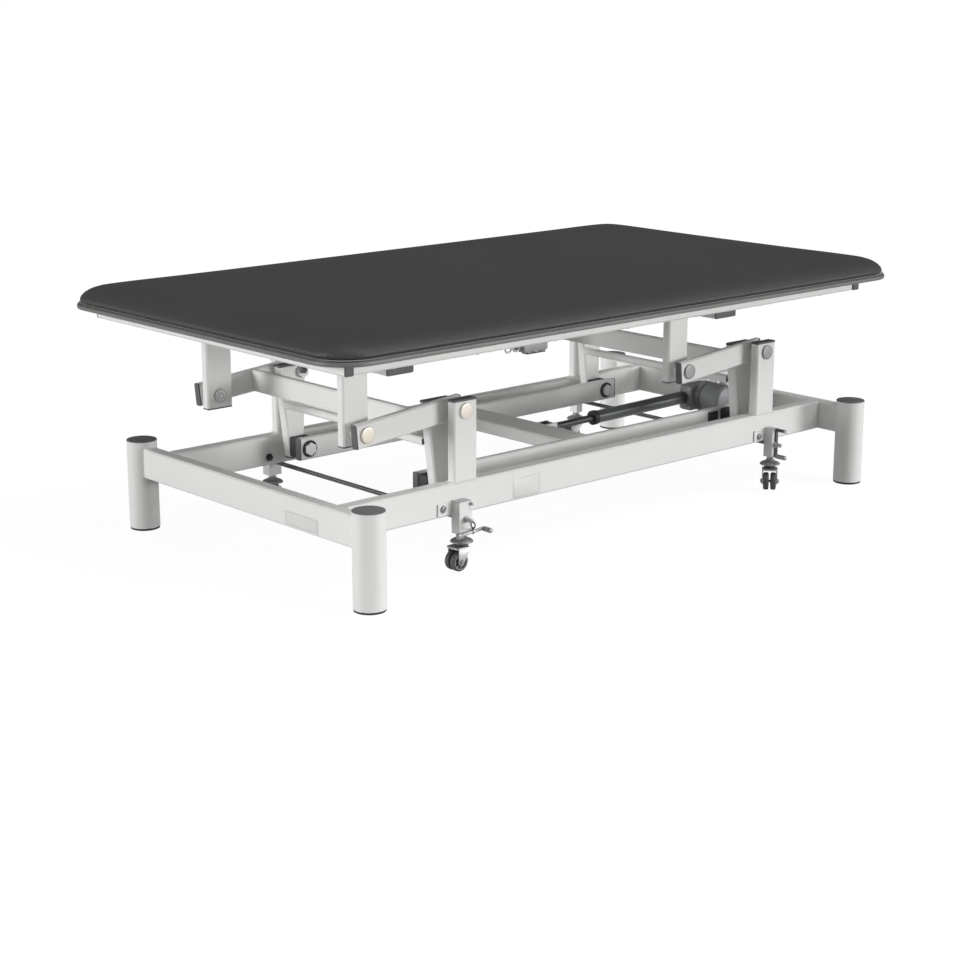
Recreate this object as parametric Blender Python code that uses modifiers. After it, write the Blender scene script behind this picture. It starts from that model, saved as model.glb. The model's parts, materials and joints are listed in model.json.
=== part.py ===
# Treatment table: a wide padded top on a parallelogram of swinging arms over a tubular base.
# Metres, +Z up. The origin is on the floor under the middle of the padded top.
# -Y is the front, -X the left end. Every size below can be changed by itself.
import math

import bmesh
import bpy
from mathutils import Matrix, Vector

MM = 0.001
DEGREE = math.pi / 180

# Fits
GAP = 0.3 * MM  # between pieces that rest on each other or turn in each other
WELD = 1.0 * MM  # how far welded shapes run into each other
LINK_PASS = 1.0 * MM  # room between the swinging links and the rails

# Tubes and roundness
TUBE_WALL = 2.0 * MM
TUBE_CORNER = 4.0 * MM
CORNER_STEPS = 6
PIN_SIDES = 16
WHEEL_SIDES = 20
LEG_SIDES = 24

# Padded top
TOP_LENGTH = 2000 * MM
TOP_WIDTH = 1150 * MM
TOP_CORNER_RADIUS = 100 * MM
TOP_OVERHANG = 270 * MM  # from the left edge to the left hangers' pivot
PAD_THICKNESS = 46 * MM
PAD_INSET = 5 * MM
PAD_EDGE_RADIUS = 16 * MM
BOARD_THICKNESS = 14 * MM
TOP_TUBE_SIZE = 25 * MM
FRAME_INSET_LEFT = 47 * MM  # from the edges of the top to the edge frame
FRAME_INSET_RIGHT = 133 * MM
FRAME_INSET_FRONT = 40 * MM
FRAME_INSET_BACK = 92 * MM
CROSS_TUBE_WIDTH = 80 * MM
CROSS_TUBE_HEIGHT = 60 * MM
CROSS_TUBE_LENGTH = 914 * MM

# Hangers that carry the top on the arms
HANGER_WIDTH = 77 * MM
HANGER_THICKNESS = 26 * MM
HANGER_RISE = 165.4 * MM  # from the pivot to the underside of the cross tube
HANGER_FOOT = 31 * MM  # from the pivot to the hanger's lower end
HANGER_SPACER = 21 * MM

# Swinging arms
LINK_LENGTH = 277.2 * MM  # between pivots
LINK_SLOPE = 5.1 * DEGREE  # how far the links hang below level
LINK_HEIGHT = 60 * MM
LINK_THICKNESS = 20 * MM
LINK_OVERHANG = 29 * MM  # past the hanger pivot
LINK_TAIL = 18.5 * MM  # past the arm pivot
LEVER_THICKNESS = 30 * MM
LEVER_DROP = 201.2 * MM  # from the arm pivot down to the tie bar pivot
LEVER_BACK = 19.5 * MM  # and back towards the left
LEVER_RISE = 17 * MM
LEVER_FOOT = 30 * MM
LEVER_TOP_WIDTH = 86 * MM
LEVER_FOOT_WIDTH = 45 * MM
LEVER_TOP_SHIFT = 29 * MM
BEAM_DISTANCE = 130 * MM
BEAM_HEIGHT = 59 * MM
BEAM_THICKNESS = 20 * MM
STRIP_SIZE = 20 * MM
STRIP_BACK = 55 * MM
STRIP_DROP = 83 * MM

# Arm pivots
ARM_PIN_RADIUS = 12 * MM
ARM_BUSH_RADIUS = 17 * MM
BOSS_RADIUS = 22 * MM
CAP_RADIUS = 19.5 * MM
CAP_THICKNESS = 4.5 * MM
NUT_RADIUS = 18 * MM
NUT_THICKNESS = 9.5 * MM
WASHER_THICKNESS = 3 * MM

# Tie frame that keeps the arms level with each other
TIE_BAR_HEIGHT = 60 * MM
TIE_BAR_THICKNESS = 20 * MM
TIE_SPACER = 33 * MM
TIE_END_LEFT = 27 * MM
TIE_END_RIGHT = 37.5 * MM
TIE_PIN_RADIUS = 10 * MM
TIE_BUSH_RADIUS = 15 * MM
TIE_BOSS_RADIUS = 20 * MM
TIE_CROSS_DISTANCE = 532 * MM  # from the left tie bar pivot
TIE_CROSS_WIDTH = 100 * MM
TIE_CROSS_HEIGHT = 35 * MM

# Base frame
POST_SPACING = 1129.5 * MM
POST_TO_MIDDLE = 501.5 * MM  # from the left posts to the middle of the base
POST_WIDTH = 76 * MM
POST_THICKNESS = 27 * MM
POST_HEIGHT = 201 * MM
PIVOT_BELOW_TOP = 24.5 * MM
RAIL_OUTER_Y = 376 * MM
RAIL_WIDTH = 40 * MM
RAIL_HEIGHT = 80 * MM
RAIL_WALL = 2.5 * MM
RAIL_BOTTOM = 144.5 * MM
END_RAIL_WIDTH = 38 * MM
LEG_SPACING_X = 1779 * MM
LEG_SPACING_Y = 951 * MM
LEG_RADIUS = 40 * MM
LEG_WALL = 2.5 * MM
LEG_LENGTH = 236.5 * MM
FOOT_HEIGHT = 6 * MM
FOOT_RADIUS = 39 * MM
FOOT_PLUG = 20 * MM

# Lift actuator
ACTUATOR_Y = -60 * MM
EYE_REACH = 19 * MM  # from the tie frame's cross tube to the rod's eye
EYE_RISE = 13 * MM  # above the tie bar pivots
EYE_RADIUS = 19 * MM
EYE_WIDTH = 24 * MM
EYE_PIN_RADIUS = 8 * MM
LUG_THICKNESS = 8 * MM
ACTUATOR_LENGTH = 704 * MM  # from the rod's eye to the rear pivot
ACTUATOR_RISE = 9 * MM  # rear pivot above the rod's eye
ROD_RADIUS = 10 * MM
ROD_LENGTH = 480 * MM
TUBE_START = 176 * MM
TUBE_RADIUS = 17 * MM
COLLAR_RADIUS = 20.5 * MM
COLLAR_LENGTH = 14 * MM
ROD_TRAVEL_IN = 105 * MM
GEARBOX_START = 556 * MM
GEARBOX_LENGTH = 84 * MM
GEARBOX_FRONT = 32 * MM  # from the rod towards the motor
GEARBOX_BACK = 16 * MM
GEARBOX_HEIGHT = 74 * MM
MOTOR_RADIUS = 46 * MM
MOTOR_LENGTH = 120 * MM
MOTOR_FROM_END = 28 * MM
TONGUE_WIDTH = 32 * MM
TONGUE_HEIGHT = 40 * MM
TONGUE_BEYOND = 18 * MM
REAR_PIN_RADIUS = 7 * MM
REAR_LUG_THICKNESS = 6 * MM
REAR_LUG_PLAY = 1 * MM
REAR_PLATE = 6 * MM
REAR_PLATE_WIDTH = 90 * MM
REAR_LUG_MARGIN = 12 * MM
PIVOT_DRIFT_BACK = 12 * MM  # room in the rear slots for the pin's drift as the top moves
PIVOT_DRIFT_FRONT = 8 * MM
PIVOT_DRIFT_UP = 39 * MM
PIVOT_DRIFT_DOWN = 5 * MM

# Castors
CASTOR_OFFSET_LEFT = -28 * MM  # from the left posts
CASTOR_OFFSET_RIGHT = 13.5 * MM  # from the right posts
HOUSING_WIDTH_LEFT = 40 * MM
HOUSING_WIDTH_RIGHT = 24 * MM
HOUSING_DEPTH = 30 * MM
HOUSING_ON_RAIL = 37.5 * MM  # how far the housing reaches up the rail
EAR_LENGTH = 46 * MM
EAR_HEIGHT = 32 * MM
EAR_THICKNESS = 4 * MM
WHEEL_RADIUS = 25 * MM
WHEEL_WIDTH = 16 * MM
WHEEL_SPLIT = 4 * MM
WHEEL_SHOULDER = 3 * MM
WHEEL_LIFT = 8 * MM  # the wheels hang clear of the floor when the castors are up
WHEEL_HUB_RADIUS = 10 * MM
AXLE_RADIUS = 4 * MM
AXLE_HEAD = 5 * MM
FORK_PLATE = 4 * MM
FORK_LENGTH = 48 * MM
FORK_ARM = 3 * MM
FORK_LIP = 1 * MM  # top plate past the arms
FORK_ARM_BACK = 9 * MM  # from the axle, at the top plate
FORK_ARM_FRONT = 29 * MM
FORK_ARM_END_RADIUS = 10 * MM
FORK_TRAIL = 18 * MM
FORK_CLEARANCE = 7.5 * MM
STEM_RADIUS = 8 * MM
STEM_HEAD_RADIUS = 12 * MM
STEM_HEAD_HEIGHT = 5 * MM
BEARING_RADIUS = 16 * MM
BEARING_HEIGHT = 10 * MM
DISH_RADIUS = 29 * MM
DISH_THICKNESS = 9 * MM
DISH_TO_HOUSING = 12.5 * MM
PLUNGER_SEAT = 4 * MM
SHAFT_RADIUS = 5.5 * MM
SHAFT_BELOW_RAIL = 1 * MM
CRANK_WIDTH = 14 * MM
CRANK_THICKNESS = 6 * MM
CRANK_RISE = 9 * MM
PEDAL_DROP = 34 * MM
PEDAL_RADIUS = 4.5 * MM
PEDAL_REACH_LEFT = 50 * MM  # along the table; the right pedal has no such reach
PEDAL_SLOPE = 4 * DEGREE
GRIP_LENGTH = 33 * MM
GRIP_RADIUS = 6.5 * MM
SWIVEL_FRONT_LEFT = 0 * DEGREE
SWIVEL_FRONT_RIGHT = 42 * DEGREE
SWIVEL_BACK_LEFT = 25 * DEGREE
SWIVEL_BACK_RIGHT = -15 * DEGREE

# Layers across the table, measured from its middle line
RAIL_INNER_Y = RAIL_OUTER_Y - RAIL_WIDTH
POST_INNER_Y = RAIL_OUTER_Y - POST_THICKNESS
LINK_OUTER_Y = RAIL_INNER_Y - LINK_PASS
LINK_INNER_Y = LINK_OUTER_Y - LINK_THICKNESS
LEVER_INNER_Y = LINK_INNER_Y - LEVER_THICKNESS
HANGER_OUTER_Y = LINK_INNER_Y - HANGER_SPACER
HANGER_INNER_Y = HANGER_OUTER_Y - HANGER_THICKNESS
TIE_OUTER_Y = LEVER_INNER_Y - TIE_SPACER
TIE_INNER_Y = TIE_OUTER_Y - TIE_BAR_THICKNESS
CASTOR_Y = RAIL_OUTER_Y + GAP + HOUSING_DEPTH / 2

# Pivots and levels
RAIL_TOP = RAIL_BOTTOM + RAIL_HEIGHT
ARM_PIVOT_Z = RAIL_TOP + GAP + POST_HEIGHT - PIVOT_BELOW_TOP
HANGER_X = -TOP_LENGTH / 2 + TOP_OVERHANG
HANGER_Z = ARM_PIVOT_Z - LINK_LENGTH * math.sin(LINK_SLOPE)
ARM_X = HANGER_X + LINK_LENGTH * math.cos(LINK_SLOPE)
BASE_X = ARM_X + POST_TO_MIDDLE
TIE_X = ARM_X - LEVER_BACK
TIE_Z = ARM_PIVOT_Z - LEVER_DROP
BOARD_BOTTOM = HANGER_Z + HANGER_RISE + CROSS_TUBE_HEIGHT + GAP
EYE_X = TIE_X + TIE_CROSS_DISTANCE + TIE_CROSS_WIDTH / 2 + EYE_REACH
EYE_Z = TIE_Z + EYE_RISE
SHAFT_Z = RAIL_BOTTOM - SHAFT_BELOW_RAIL - SHAFT_RADIUS
AXLE_Z = WHEEL_LIFT + WHEEL_RADIUS
FORK_PLATE_Z = AXLE_Z + WHEEL_RADIUS + FORK_CLEARANCE
DISH_Z = FORK_PLATE_Z + FORK_PLATE + GAP + BEARING_HEIGHT
HOUSING_BOTTOM = DISH_Z + DISH_THICKNESS + DISH_TO_HOUSING
HOUSING_TOP = RAIL_BOTTOM + HOUSING_ON_RAIL

SIDES = (("left", 0.0), ("right", POST_SPACING))
ROWS = (("front", -1), ("back", 1))

for old in list(bpy.data.objects):
    bpy.data.objects.remove(old, do_unlink=True)


def new_collection(name):
    made = bpy.data.collections.new(name)
    bpy.context.scene.collection.children.link(made)
    return made


PARTS = new_collection("treatment_table")
SHAPES = new_collection("cutting_and_joining_shapes")


def finish(name, colour, roughness, metallic):
    made = bpy.data.materials.new(name)
    made.use_nodes = True
    shader = made.node_tree.nodes["Principled BSDF"]
    shader.inputs["Base Color"].default_value = (*colour, 1)
    shader.inputs["Roughness"].default_value = roughness
    shader.inputs["Metallic"].default_value = metallic
    return made


WHITE_PAINT = finish("white_powder_coat", (0.86, 0.86, 0.85), 0.4, 0.0)
VINYL = finish("charcoal_vinyl", (0.045, 0.045, 0.044), 0.45, 0.0)
BOARD_EDGE = finish("grey_board_edge", (0.16, 0.16, 0.165), 0.5, 0.0)
RUBBER = finish("dark_rubber", (0.05, 0.05, 0.05), 0.7, 0.0)
ZINC = finish("bright_zinc", (0.62, 0.62, 0.61), 0.3, 1.0)
TREAD = finish("grey_tread", (0.1, 0.1, 0.1), 0.6, 0.0)
STEEL = finish("bright_steel", (0.66, 0.66, 0.67), 0.2, 1.0)
MOTOR_BLACK = finish("dark_motor_plastic", (0.07, 0.075, 0.075), 0.55, 0.0)


# Box between two corners
def block(low, high):
    shape = bmesh.new()
    bmesh.ops.create_cube(shape, size=1)
    low, high = Vector(low), Vector(high)
    size = high - low
    place = Matrix.Translation((low + high) / 2) @ Matrix.Diagonal((*size, 1))
    bmesh.ops.transform(shape, matrix=place, verts=shape.verts)
    return shape


# Box with both ends open, the skin of a square tube along one axis
def open_tube(low, high, along):
    shape = block(low, high)
    shape.normal_update()
    ends = [face for face in shape.faces if abs(face.normal[along]) > 0.5]
    bmesh.ops.delete(shape, geom=ends, context="FACES_ONLY")
    return shape


# Round bar between two points
def bar(radius, start, end, sides=PIN_SIDES):
    start, end = Vector(start), Vector(end)
    run = end - start
    shape = bmesh.new()
    bmesh.ops.create_cone(
        shape, cap_ends=True, segments=sides, radius1=radius, radius2=radius, depth=run.length
    )
    turn = Vector((0, 0, 1)).rotation_difference(run).to_matrix().to_4x4()
    bmesh.ops.transform(shape, matrix=Matrix.Translation((start + end) / 2) @ turn, verts=shape.verts)
    return shape


# Flat plate from an outline in the XY plane, centred on Z
def plate(points, thickness):
    curve = bpy.data.curves.new("outline", "CURVE")
    curve.dimensions = "2D"
    curve.fill_mode = "BOTH"
    curve.extrude = thickness / 2
    spline = curve.splines.new("POLY")
    spline.points.add(len(points) - 1)
    for point, (x, y) in zip(spline.points, points):
        point.co = (x, y, 0, 1)
    spline.use_cyclic_u = True
    drawn = bpy.data.objects.new("outline", curve)
    SHAPES.objects.link(drawn)
    mesh = bpy.data.meshes.new_from_object(drawn.evaluated_get(bpy.context.evaluated_depsgraph_get()))
    bpy.data.objects.remove(drawn, do_unlink=True)
    shape = bmesh.new()
    shape.from_mesh(mesh)
    bpy.data.meshes.remove(mesh)
    bmesh.ops.remove_doubles(shape, verts=shape.verts, dist=0.01 * MM)
    bmesh.ops.recalc_face_normals(shape, faces=shape.faces)
    return shape


def arc(centre, radius, start, end, steps):
    angles = [start + (end - start) * step / steps for step in range(steps + 1)]
    return [(centre[0] + radius * math.cos(a), centre[1] + radius * math.sin(a)) for a in angles]


# Rectangle about the origin with round corners
def rounded_rectangle(length, width, radius):
    points = []
    for quarter, (sx, sy) in enumerate(((1, 1), (-1, 1), (-1, -1), (1, -1))):
        centre = (sx * (length / 2 - radius), sy * (width / 2 - radius))
        points += arc(centre, radius, quarter * math.pi / 2, (quarter + 1) * math.pi / 2, CORNER_STEPS)
    return points


# Empty that stands on a joint's axis and carries what turns on it
def axis(name, place, carrier=None):
    made = bpy.data.objects.new(name, None)
    PARTS.objects.link(made)
    made["place"] = place
    made.parent = carrier
    made.location = at(carrier, place) if carrier else place
    return made


# A world point as seen from an axis
def at(carrier, point):
    return Vector(point) - Vector(carrier["place"])


def as_mesh(name, shape):
    mesh = bpy.data.meshes.new(name)
    shape.to_mesh(mesh)
    shape.free()
    mesh.shade_smooth()
    mesh.set_sharp_from_angle(angle=35 * DEGREE)
    return mesh


def piece(name, shape, look, carrier, place=(0, 0, 0)):
    mesh = as_mesh(name, shape)
    mesh.materials.append(look)
    made = bpy.data.objects.new(name, mesh)
    PARTS.objects.link(made)
    made.parent = carrier
    made.location = place
    return made


def round_edges(target, radius, steps=1):
    rounding = target.modifiers.new("round_edges", "BEVEL")
    rounding.width = radius
    rounding.segments = steps
    rounding.limit_method = "ANGLE"


# Turn an open skin into a tube with a wall and round edges
def hollow(target, wall=TUBE_WALL, corner=TUBE_CORNER):
    if corner:
        round_edges(target, corner)
    thickness = target.modifiers.new("wall", "SOLIDIFY")
    thickness.thickness = wall
    thickness.offset = -1
    thickness.use_even_offset = True


def combine(target, shape, operation, wall=None):
    helper = bpy.data.objects.new(f"{target.name}_{operation.lower()}", as_mesh("shape", shape))
    SHAPES.objects.link(helper)
    helper.parent = target
    helper.display_type = "WIRE"
    helper.hide_render = True
    if wall:
        hollow(helper, wall)
    step = target.modifiers.new(operation.lower(), "BOOLEAN")
    step.operation = operation
    step.object = helper


def join(target, *shapes):
    for shape in shapes:
        combine(target, shape, "UNION")


def cut(target, *shapes):
    for shape in shapes:
        combine(target, shape, "DIFFERENCE")


# Round bar across the table on one side of the middle line
def across(radius, row, near, far, x=0.0, z=0.0, sides=PIN_SIDES):
    return bar(radius, (x, row * near, z), (x, row * far, z), sides)


# Square tube lying in a layer on one side of the middle line
def layer_tube(row, inner, outer, x_low, x_high, z_low, z_high, along):
    low_y, high_y = sorted((row * inner, row * outer))
    return open_tube((x_low, low_y, z_low), (x_high, high_y, z_high), along)


BASE = axis("base_axis", (0, 0, 0))
ARMS = {
    side: axis(f"{side}_arm_axis", (ARM_X + shift, 0, ARM_PIVOT_Z), BASE)
    for side, shift in SIDES
}
TIE = axis("tie_axis", (TIE_X, 0, TIE_Z), ARMS["left"])
TOP = axis("top_axis", (HANGER_X, 0, HANGER_Z), ARMS["left"])
ROD = axis("rod_axis", (EYE_X, ACTUATOR_Y, EYE_Z), TIE)
ROD.rotation_euler.y = -math.atan2(ACTUATOR_RISE, ACTUATOR_LENGTH)


# Four rails, four legs and their feet
def build_base():
    half_x, half_y = LEG_SPACING_X / 2, LEG_SPACING_Y / 2
    for side, sign in (("left", -1), ("right", 1)):
        skin = open_tube((-END_RAIL_WIDTH / 2, -half_y, 0), (END_RAIL_WIDTH / 2, half_y, RAIL_HEIGHT), 1)
        rail = piece(f"base_rail_{side}", skin, WHITE_PAINT, BASE, (BASE_X + sign * half_x, 0, RAIL_BOTTOM))
        hollow(rail, RAIL_WALL)
        for row_name, row in ROWS:
            below, above = (0, row * half_y, -RAIL_HEIGHT), (0, row * half_y, 2 * RAIL_HEIGHT)
            cut(rail, bar(LEG_RADIUS + GAP, below, above, LEG_SIDES))
            place = (BASE_X + sign * half_x, row * half_y, 0)
            build_leg(f"{row_name}_{side}", place)
    reach = half_x - END_RAIL_WIDTH / 2 - GAP
    for row_name, row in ROWS:
        skin = layer_tube(row, RAIL_INNER_Y, RAIL_OUTER_Y, -reach, reach, 0, RAIL_HEIGHT, 0)
        rail = piece(f"base_rail_{row_name}", skin, WHITE_PAINT, BASE, (BASE_X, 0, RAIL_BOTTOM))
        hollow(rail, RAIL_WALL)


# Leg tube, closed on top, with a foot plugged into its open end
def build_leg(name, place):
    bottom = FOOT_HEIGHT + GAP
    skin = bar(LEG_RADIUS, (0, 0, bottom), (0, 0, bottom + LEG_LENGTH), LEG_SIDES)
    skin.normal_update()
    open_end = [face for face in skin.faces if face.normal.z < -0.5]
    bmesh.ops.delete(skin, geom=open_end, context="FACES_ONLY")
    leg = piece(f"leg_{name}", skin, WHITE_PAINT, BASE, place)
    hollow(leg, LEG_WALL, None)
    sole = bar(FOOT_RADIUS, (0, 0, 0), (0, 0, FOOT_HEIGHT), LEG_SIDES)
    foot = piece(f"foot_{name}", sole, RUBBER, BASE, place)
    plug_radius = LEG_RADIUS - LEG_WALL - GAP
    join(foot, bar(plug_radius, (0, 0, FOOT_HEIGHT - WELD), (0, 0, FOOT_HEIGHT + FOOT_PLUG), LEG_SIDES))


# Post with the spindle that its arm swings on
def build_post(name, row, arm):
    bottom = RAIL_TOP + GAP - ARM_PIVOT_Z
    half = POST_WIDTH / 2
    skin = layer_tube(row, POST_INNER_Y, RAIL_OUTER_Y, -half, half, bottom, PIVOT_BELOW_TOP, 2)
    post = piece(f"post_{name}", skin, WHITE_PAINT, BASE, arm.location)
    hollow(post)
    nut_face = LEVER_INNER_Y - GAP
    join(
        post,
        across(ARM_PIN_RADIUS, row, nut_face - NUT_THICKNESS / 2, RAIL_OUTER_Y),
        across(BOSS_RADIUS, row, LINK_OUTER_Y + GAP, POST_INNER_Y + WELD),
        across(CAP_RADIUS, row, RAIL_OUTER_Y - WELD, RAIL_OUTER_Y + CAP_THICKNESS),
        across(NUT_RADIUS, row, nut_face - NUT_THICKNESS, nut_face, sides=6),
    )


# Link and lever welded into one bell crank, bored for its pivots
def build_crank(name, row, arm):
    tilt = Matrix.Rotation(-LINK_SLOPE, 4, "Y")
    half = LINK_HEIGHT / 2
    far_end = -LINK_LENGTH - LINK_OVERHANG
    skin = layer_tube(row, LINK_INNER_Y, LINK_OUTER_Y, far_end, LINK_TAIL, -half, half, 0)
    bmesh.ops.transform(skin, matrix=tilt, verts=skin.verts)
    crank = piece(f"crank_{name}", skin, WHITE_PAINT, arm)
    hollow(crank)
    combine(crank, lever_skin(row), "UNION", TUBE_WALL)
    seat = TUBE_WALL / 2
    hanger = tilt @ Vector((-LINK_LENGTH, 0, 0))
    boss_face = TIE_OUTER_Y + GAP
    nut_face = TIE_INNER_Y - GAP
    lower = {"x": -LEVER_BACK, "z": -LEVER_DROP}
    join(
        crank,
        across(ARM_BUSH_RADIUS, row, LEVER_INNER_Y + seat, LINK_OUTER_Y - seat),
        across(ARM_BUSH_RADIUS, row, LINK_INNER_Y + seat, LINK_OUTER_Y - seat, hanger.x, hanger.z),
        across(TIE_BOSS_RADIUS, row, boss_face, LEVER_INNER_Y + WELD, **lower),
        across(TIE_PIN_RADIUS, row, nut_face - NUT_THICKNESS / 2, LINK_INNER_Y - WELD, **lower),
        across(NUT_RADIUS, row, nut_face - NUT_THICKNESS, nut_face, sides=6, **lower),
    )
    bore = ARM_PIN_RADIUS + GAP
    cut(
        crank,
        across(bore, row, LEVER_INNER_Y - BOSS_RADIUS, LINK_OUTER_Y + BOSS_RADIUS),
        across(bore, row, LINK_INNER_Y - BOSS_RADIUS, LINK_OUTER_Y + BOSS_RADIUS, hanger.x, hanger.z),
    )


# Tapering square tube from above the arm pivot to below the tie bar pivot
def lever_skin(row):
    bottom = -LEVER_DROP - LEVER_FOOT
    skin = layer_tube(row, LEVER_INNER_Y, LINK_INNER_Y + WELD, -0.5, 0.5, bottom, LEVER_RISE, 2)
    for corner in skin.verts:
        upper = corner.co.z > 0
        width = LEVER_TOP_WIDTH if upper else LEVER_FOOT_WIDTH
        middle = -LEVER_TOP_SHIFT if upper else -LEVER_BACK
        corner.co.x = middle + corner.co.x * width
    return skin


# Cross beam and stiffening strip that join the front and back cranks
def build_arm_ties(side, arm):
    reach = LINK_INNER_Y - GAP
    half_t, half_h = BEAM_THICKNESS / 2, BEAM_HEIGHT / 2
    beam = open_tube((-BEAM_DISTANCE - half_t, -reach, -half_h), (-BEAM_DISTANCE + half_t, reach, half_h), 1)
    bmesh.ops.transform(beam, matrix=Matrix.Rotation(-LINK_SLOPE, 4, "Y"), verts=beam.verts)
    hollow(piece(f"arm_beam_{side}", beam, WHITE_PAINT, arm))
    reach = LEVER_INNER_Y - GAP
    half = STRIP_SIZE / 2
    strip = open_tube((-half, -reach, -half), (half, reach, half), 1)
    hollow(piece(f"arm_strip_{side}", strip, WHITE_PAINT, arm, (-STRIP_BACK, 0, -STRIP_DROP)))


# Hanger with the spindle that turns in the link's end
def build_hanger(name, row, shift):
    half = HANGER_WIDTH / 2
    skin = layer_tube(row, HANGER_INNER_Y, HANGER_OUTER_Y, -half, half, -HANGER_FOOT, HANGER_RISE - GAP, 2)
    hanger = piece(f"hanger_{name}", skin, WHITE_PAINT, TOP, (shift, 0, 0))
    hollow(hanger)
    washer = HANGER_INNER_Y - WASHER_THICKNESS
    cap = LINK_OUTER_Y + GAP
    join(
        hanger,
        across(ARM_PIN_RADIUS, row, washer - WASHER_THICKNESS, cap + WELD),
        across(BOSS_RADIUS, row, HANGER_OUTER_Y - WELD, LINK_INNER_Y - GAP),
        across(CAP_RADIUS, row, cap, cap + CAP_THICKNESS),
        across(NUT_RADIUS, row, washer, HANGER_INNER_Y + WELD),
    )


# Cross tubes, edge frame, board and pad
def build_top():
    for side, shift in SIDES:
        half = CROSS_TUBE_WIDTH / 2
        reach = CROSS_TUBE_LENGTH / 2
        skin = open_tube((-half, -reach, HANGER_RISE), (half, reach, HANGER_RISE + CROSS_TUBE_HEIGHT), 1)
        hollow(piece(f"cross_tube_{side}", skin, WHITE_PAINT, TOP, (shift, 0, 0)))
    middle = at(TOP, (0, 0, BOARD_BOTTOM))
    left, right = FRAME_INSET_LEFT - TOP_LENGTH / 2, TOP_LENGTH / 2 - FRAME_INSET_RIGHT
    front, back = FRAME_INSET_FRONT - TOP_WIDTH / 2, TOP_WIDTH / 2 - FRAME_INSET_BACK
    low, high = -GAP - TOP_TUBE_SIZE, -GAP
    for side, start in (("left", left), ("right", right - TOP_TUBE_SIZE)):
        skin = open_tube((start, front, low), (start + TOP_TUBE_SIZE, back, high), 1)
        hollow(piece(f"top_rail_{side}", skin, WHITE_PAINT, TOP, middle))
    start, stop = left + TOP_TUBE_SIZE + GAP, right - TOP_TUBE_SIZE - GAP
    for row_name, near in (("front", front), ("back", back - TOP_TUBE_SIZE)):
        skin = open_tube((start, near, low), (stop, near + TOP_TUBE_SIZE, high), 0)
        hollow(piece(f"top_rail_{row_name}", skin, WHITE_PAINT, TOP, middle))
    outline = rounded_rectangle(TOP_LENGTH, TOP_WIDTH, TOP_CORNER_RADIUS)
    lift = Vector((0, 0, BOARD_THICKNESS / 2))
    piece("board", plate(outline, BOARD_THICKNESS), BOARD_EDGE, TOP, middle + lift)
    shrink = 2 * PAD_INSET
    outline = rounded_rectangle(TOP_LENGTH - shrink, TOP_WIDTH - shrink, TOP_CORNER_RADIUS - PAD_INSET)
    lift.z = BOARD_THICKNESS + GAP + PAD_THICKNESS / 2
    pad = piece("pad", plate(outline, PAD_THICKNESS), VINYL, TOP, middle + lift)
    round_edges(pad, PAD_EDGE_RADIUS, 3)


# Two tie bars and the cross tube that the actuator pushes on
def build_tie_frame():
    half = TIE_BAR_HEIGHT / 2
    for row_name, row in ROWS:
        skin = layer_tube(
            row, TIE_INNER_Y, TIE_OUTER_Y, -TIE_END_LEFT, POST_SPACING + TIE_END_RIGHT, -half, half, 0
        )
        tie = piece(f"tie_bar_{row_name}", skin, WHITE_PAINT, TIE)
        hollow(tie)
        seat = TUBE_WALL / 2
        for shift in (0, POST_SPACING):
            join(tie, across(TIE_BUSH_RADIUS, row, TIE_INNER_Y + seat, TIE_OUTER_Y - seat, shift))
            cut(tie, across(TIE_PIN_RADIUS + GAP, row, TIE_INNER_Y - half, TIE_OUTER_Y + half, shift))
    reach = TIE_INNER_Y - GAP
    face = TIE_CROSS_WIDTH / 2
    skin = open_tube((-face, -reach, half - TIE_CROSS_HEIGHT), (face, reach, half), 1)
    cross = piece("tie_cross_tube", skin, WHITE_PAINT, TIE, (TIE_CROSS_DISTANCE, 0, 0))
    hollow(cross)
    eye_x = face + EYE_REACH
    inner = EYE_WIDTH / 2 + GAP
    outer = inner + LUG_THICKNESS
    for sign in (-1, 1):
        low_y, high_y = sorted((ACTUATOR_Y + sign * inner, ACTUATOR_Y + sign * outer))
        low = (face - WELD, low_y, half - TIE_CROSS_HEIGHT + WELD)
        join(cross, block(low, (eye_x + EYE_RADIUS, high_y, half - WELD)))
    pin_start = (eye_x, ACTUATOR_Y - outer + WELD, EYE_RISE)
    pin_end = (eye_x, ACTUATOR_Y + outer - WELD, EYE_RISE)
    join(cross, bar(EYE_PIN_RADIUS, pin_start, pin_end))


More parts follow.
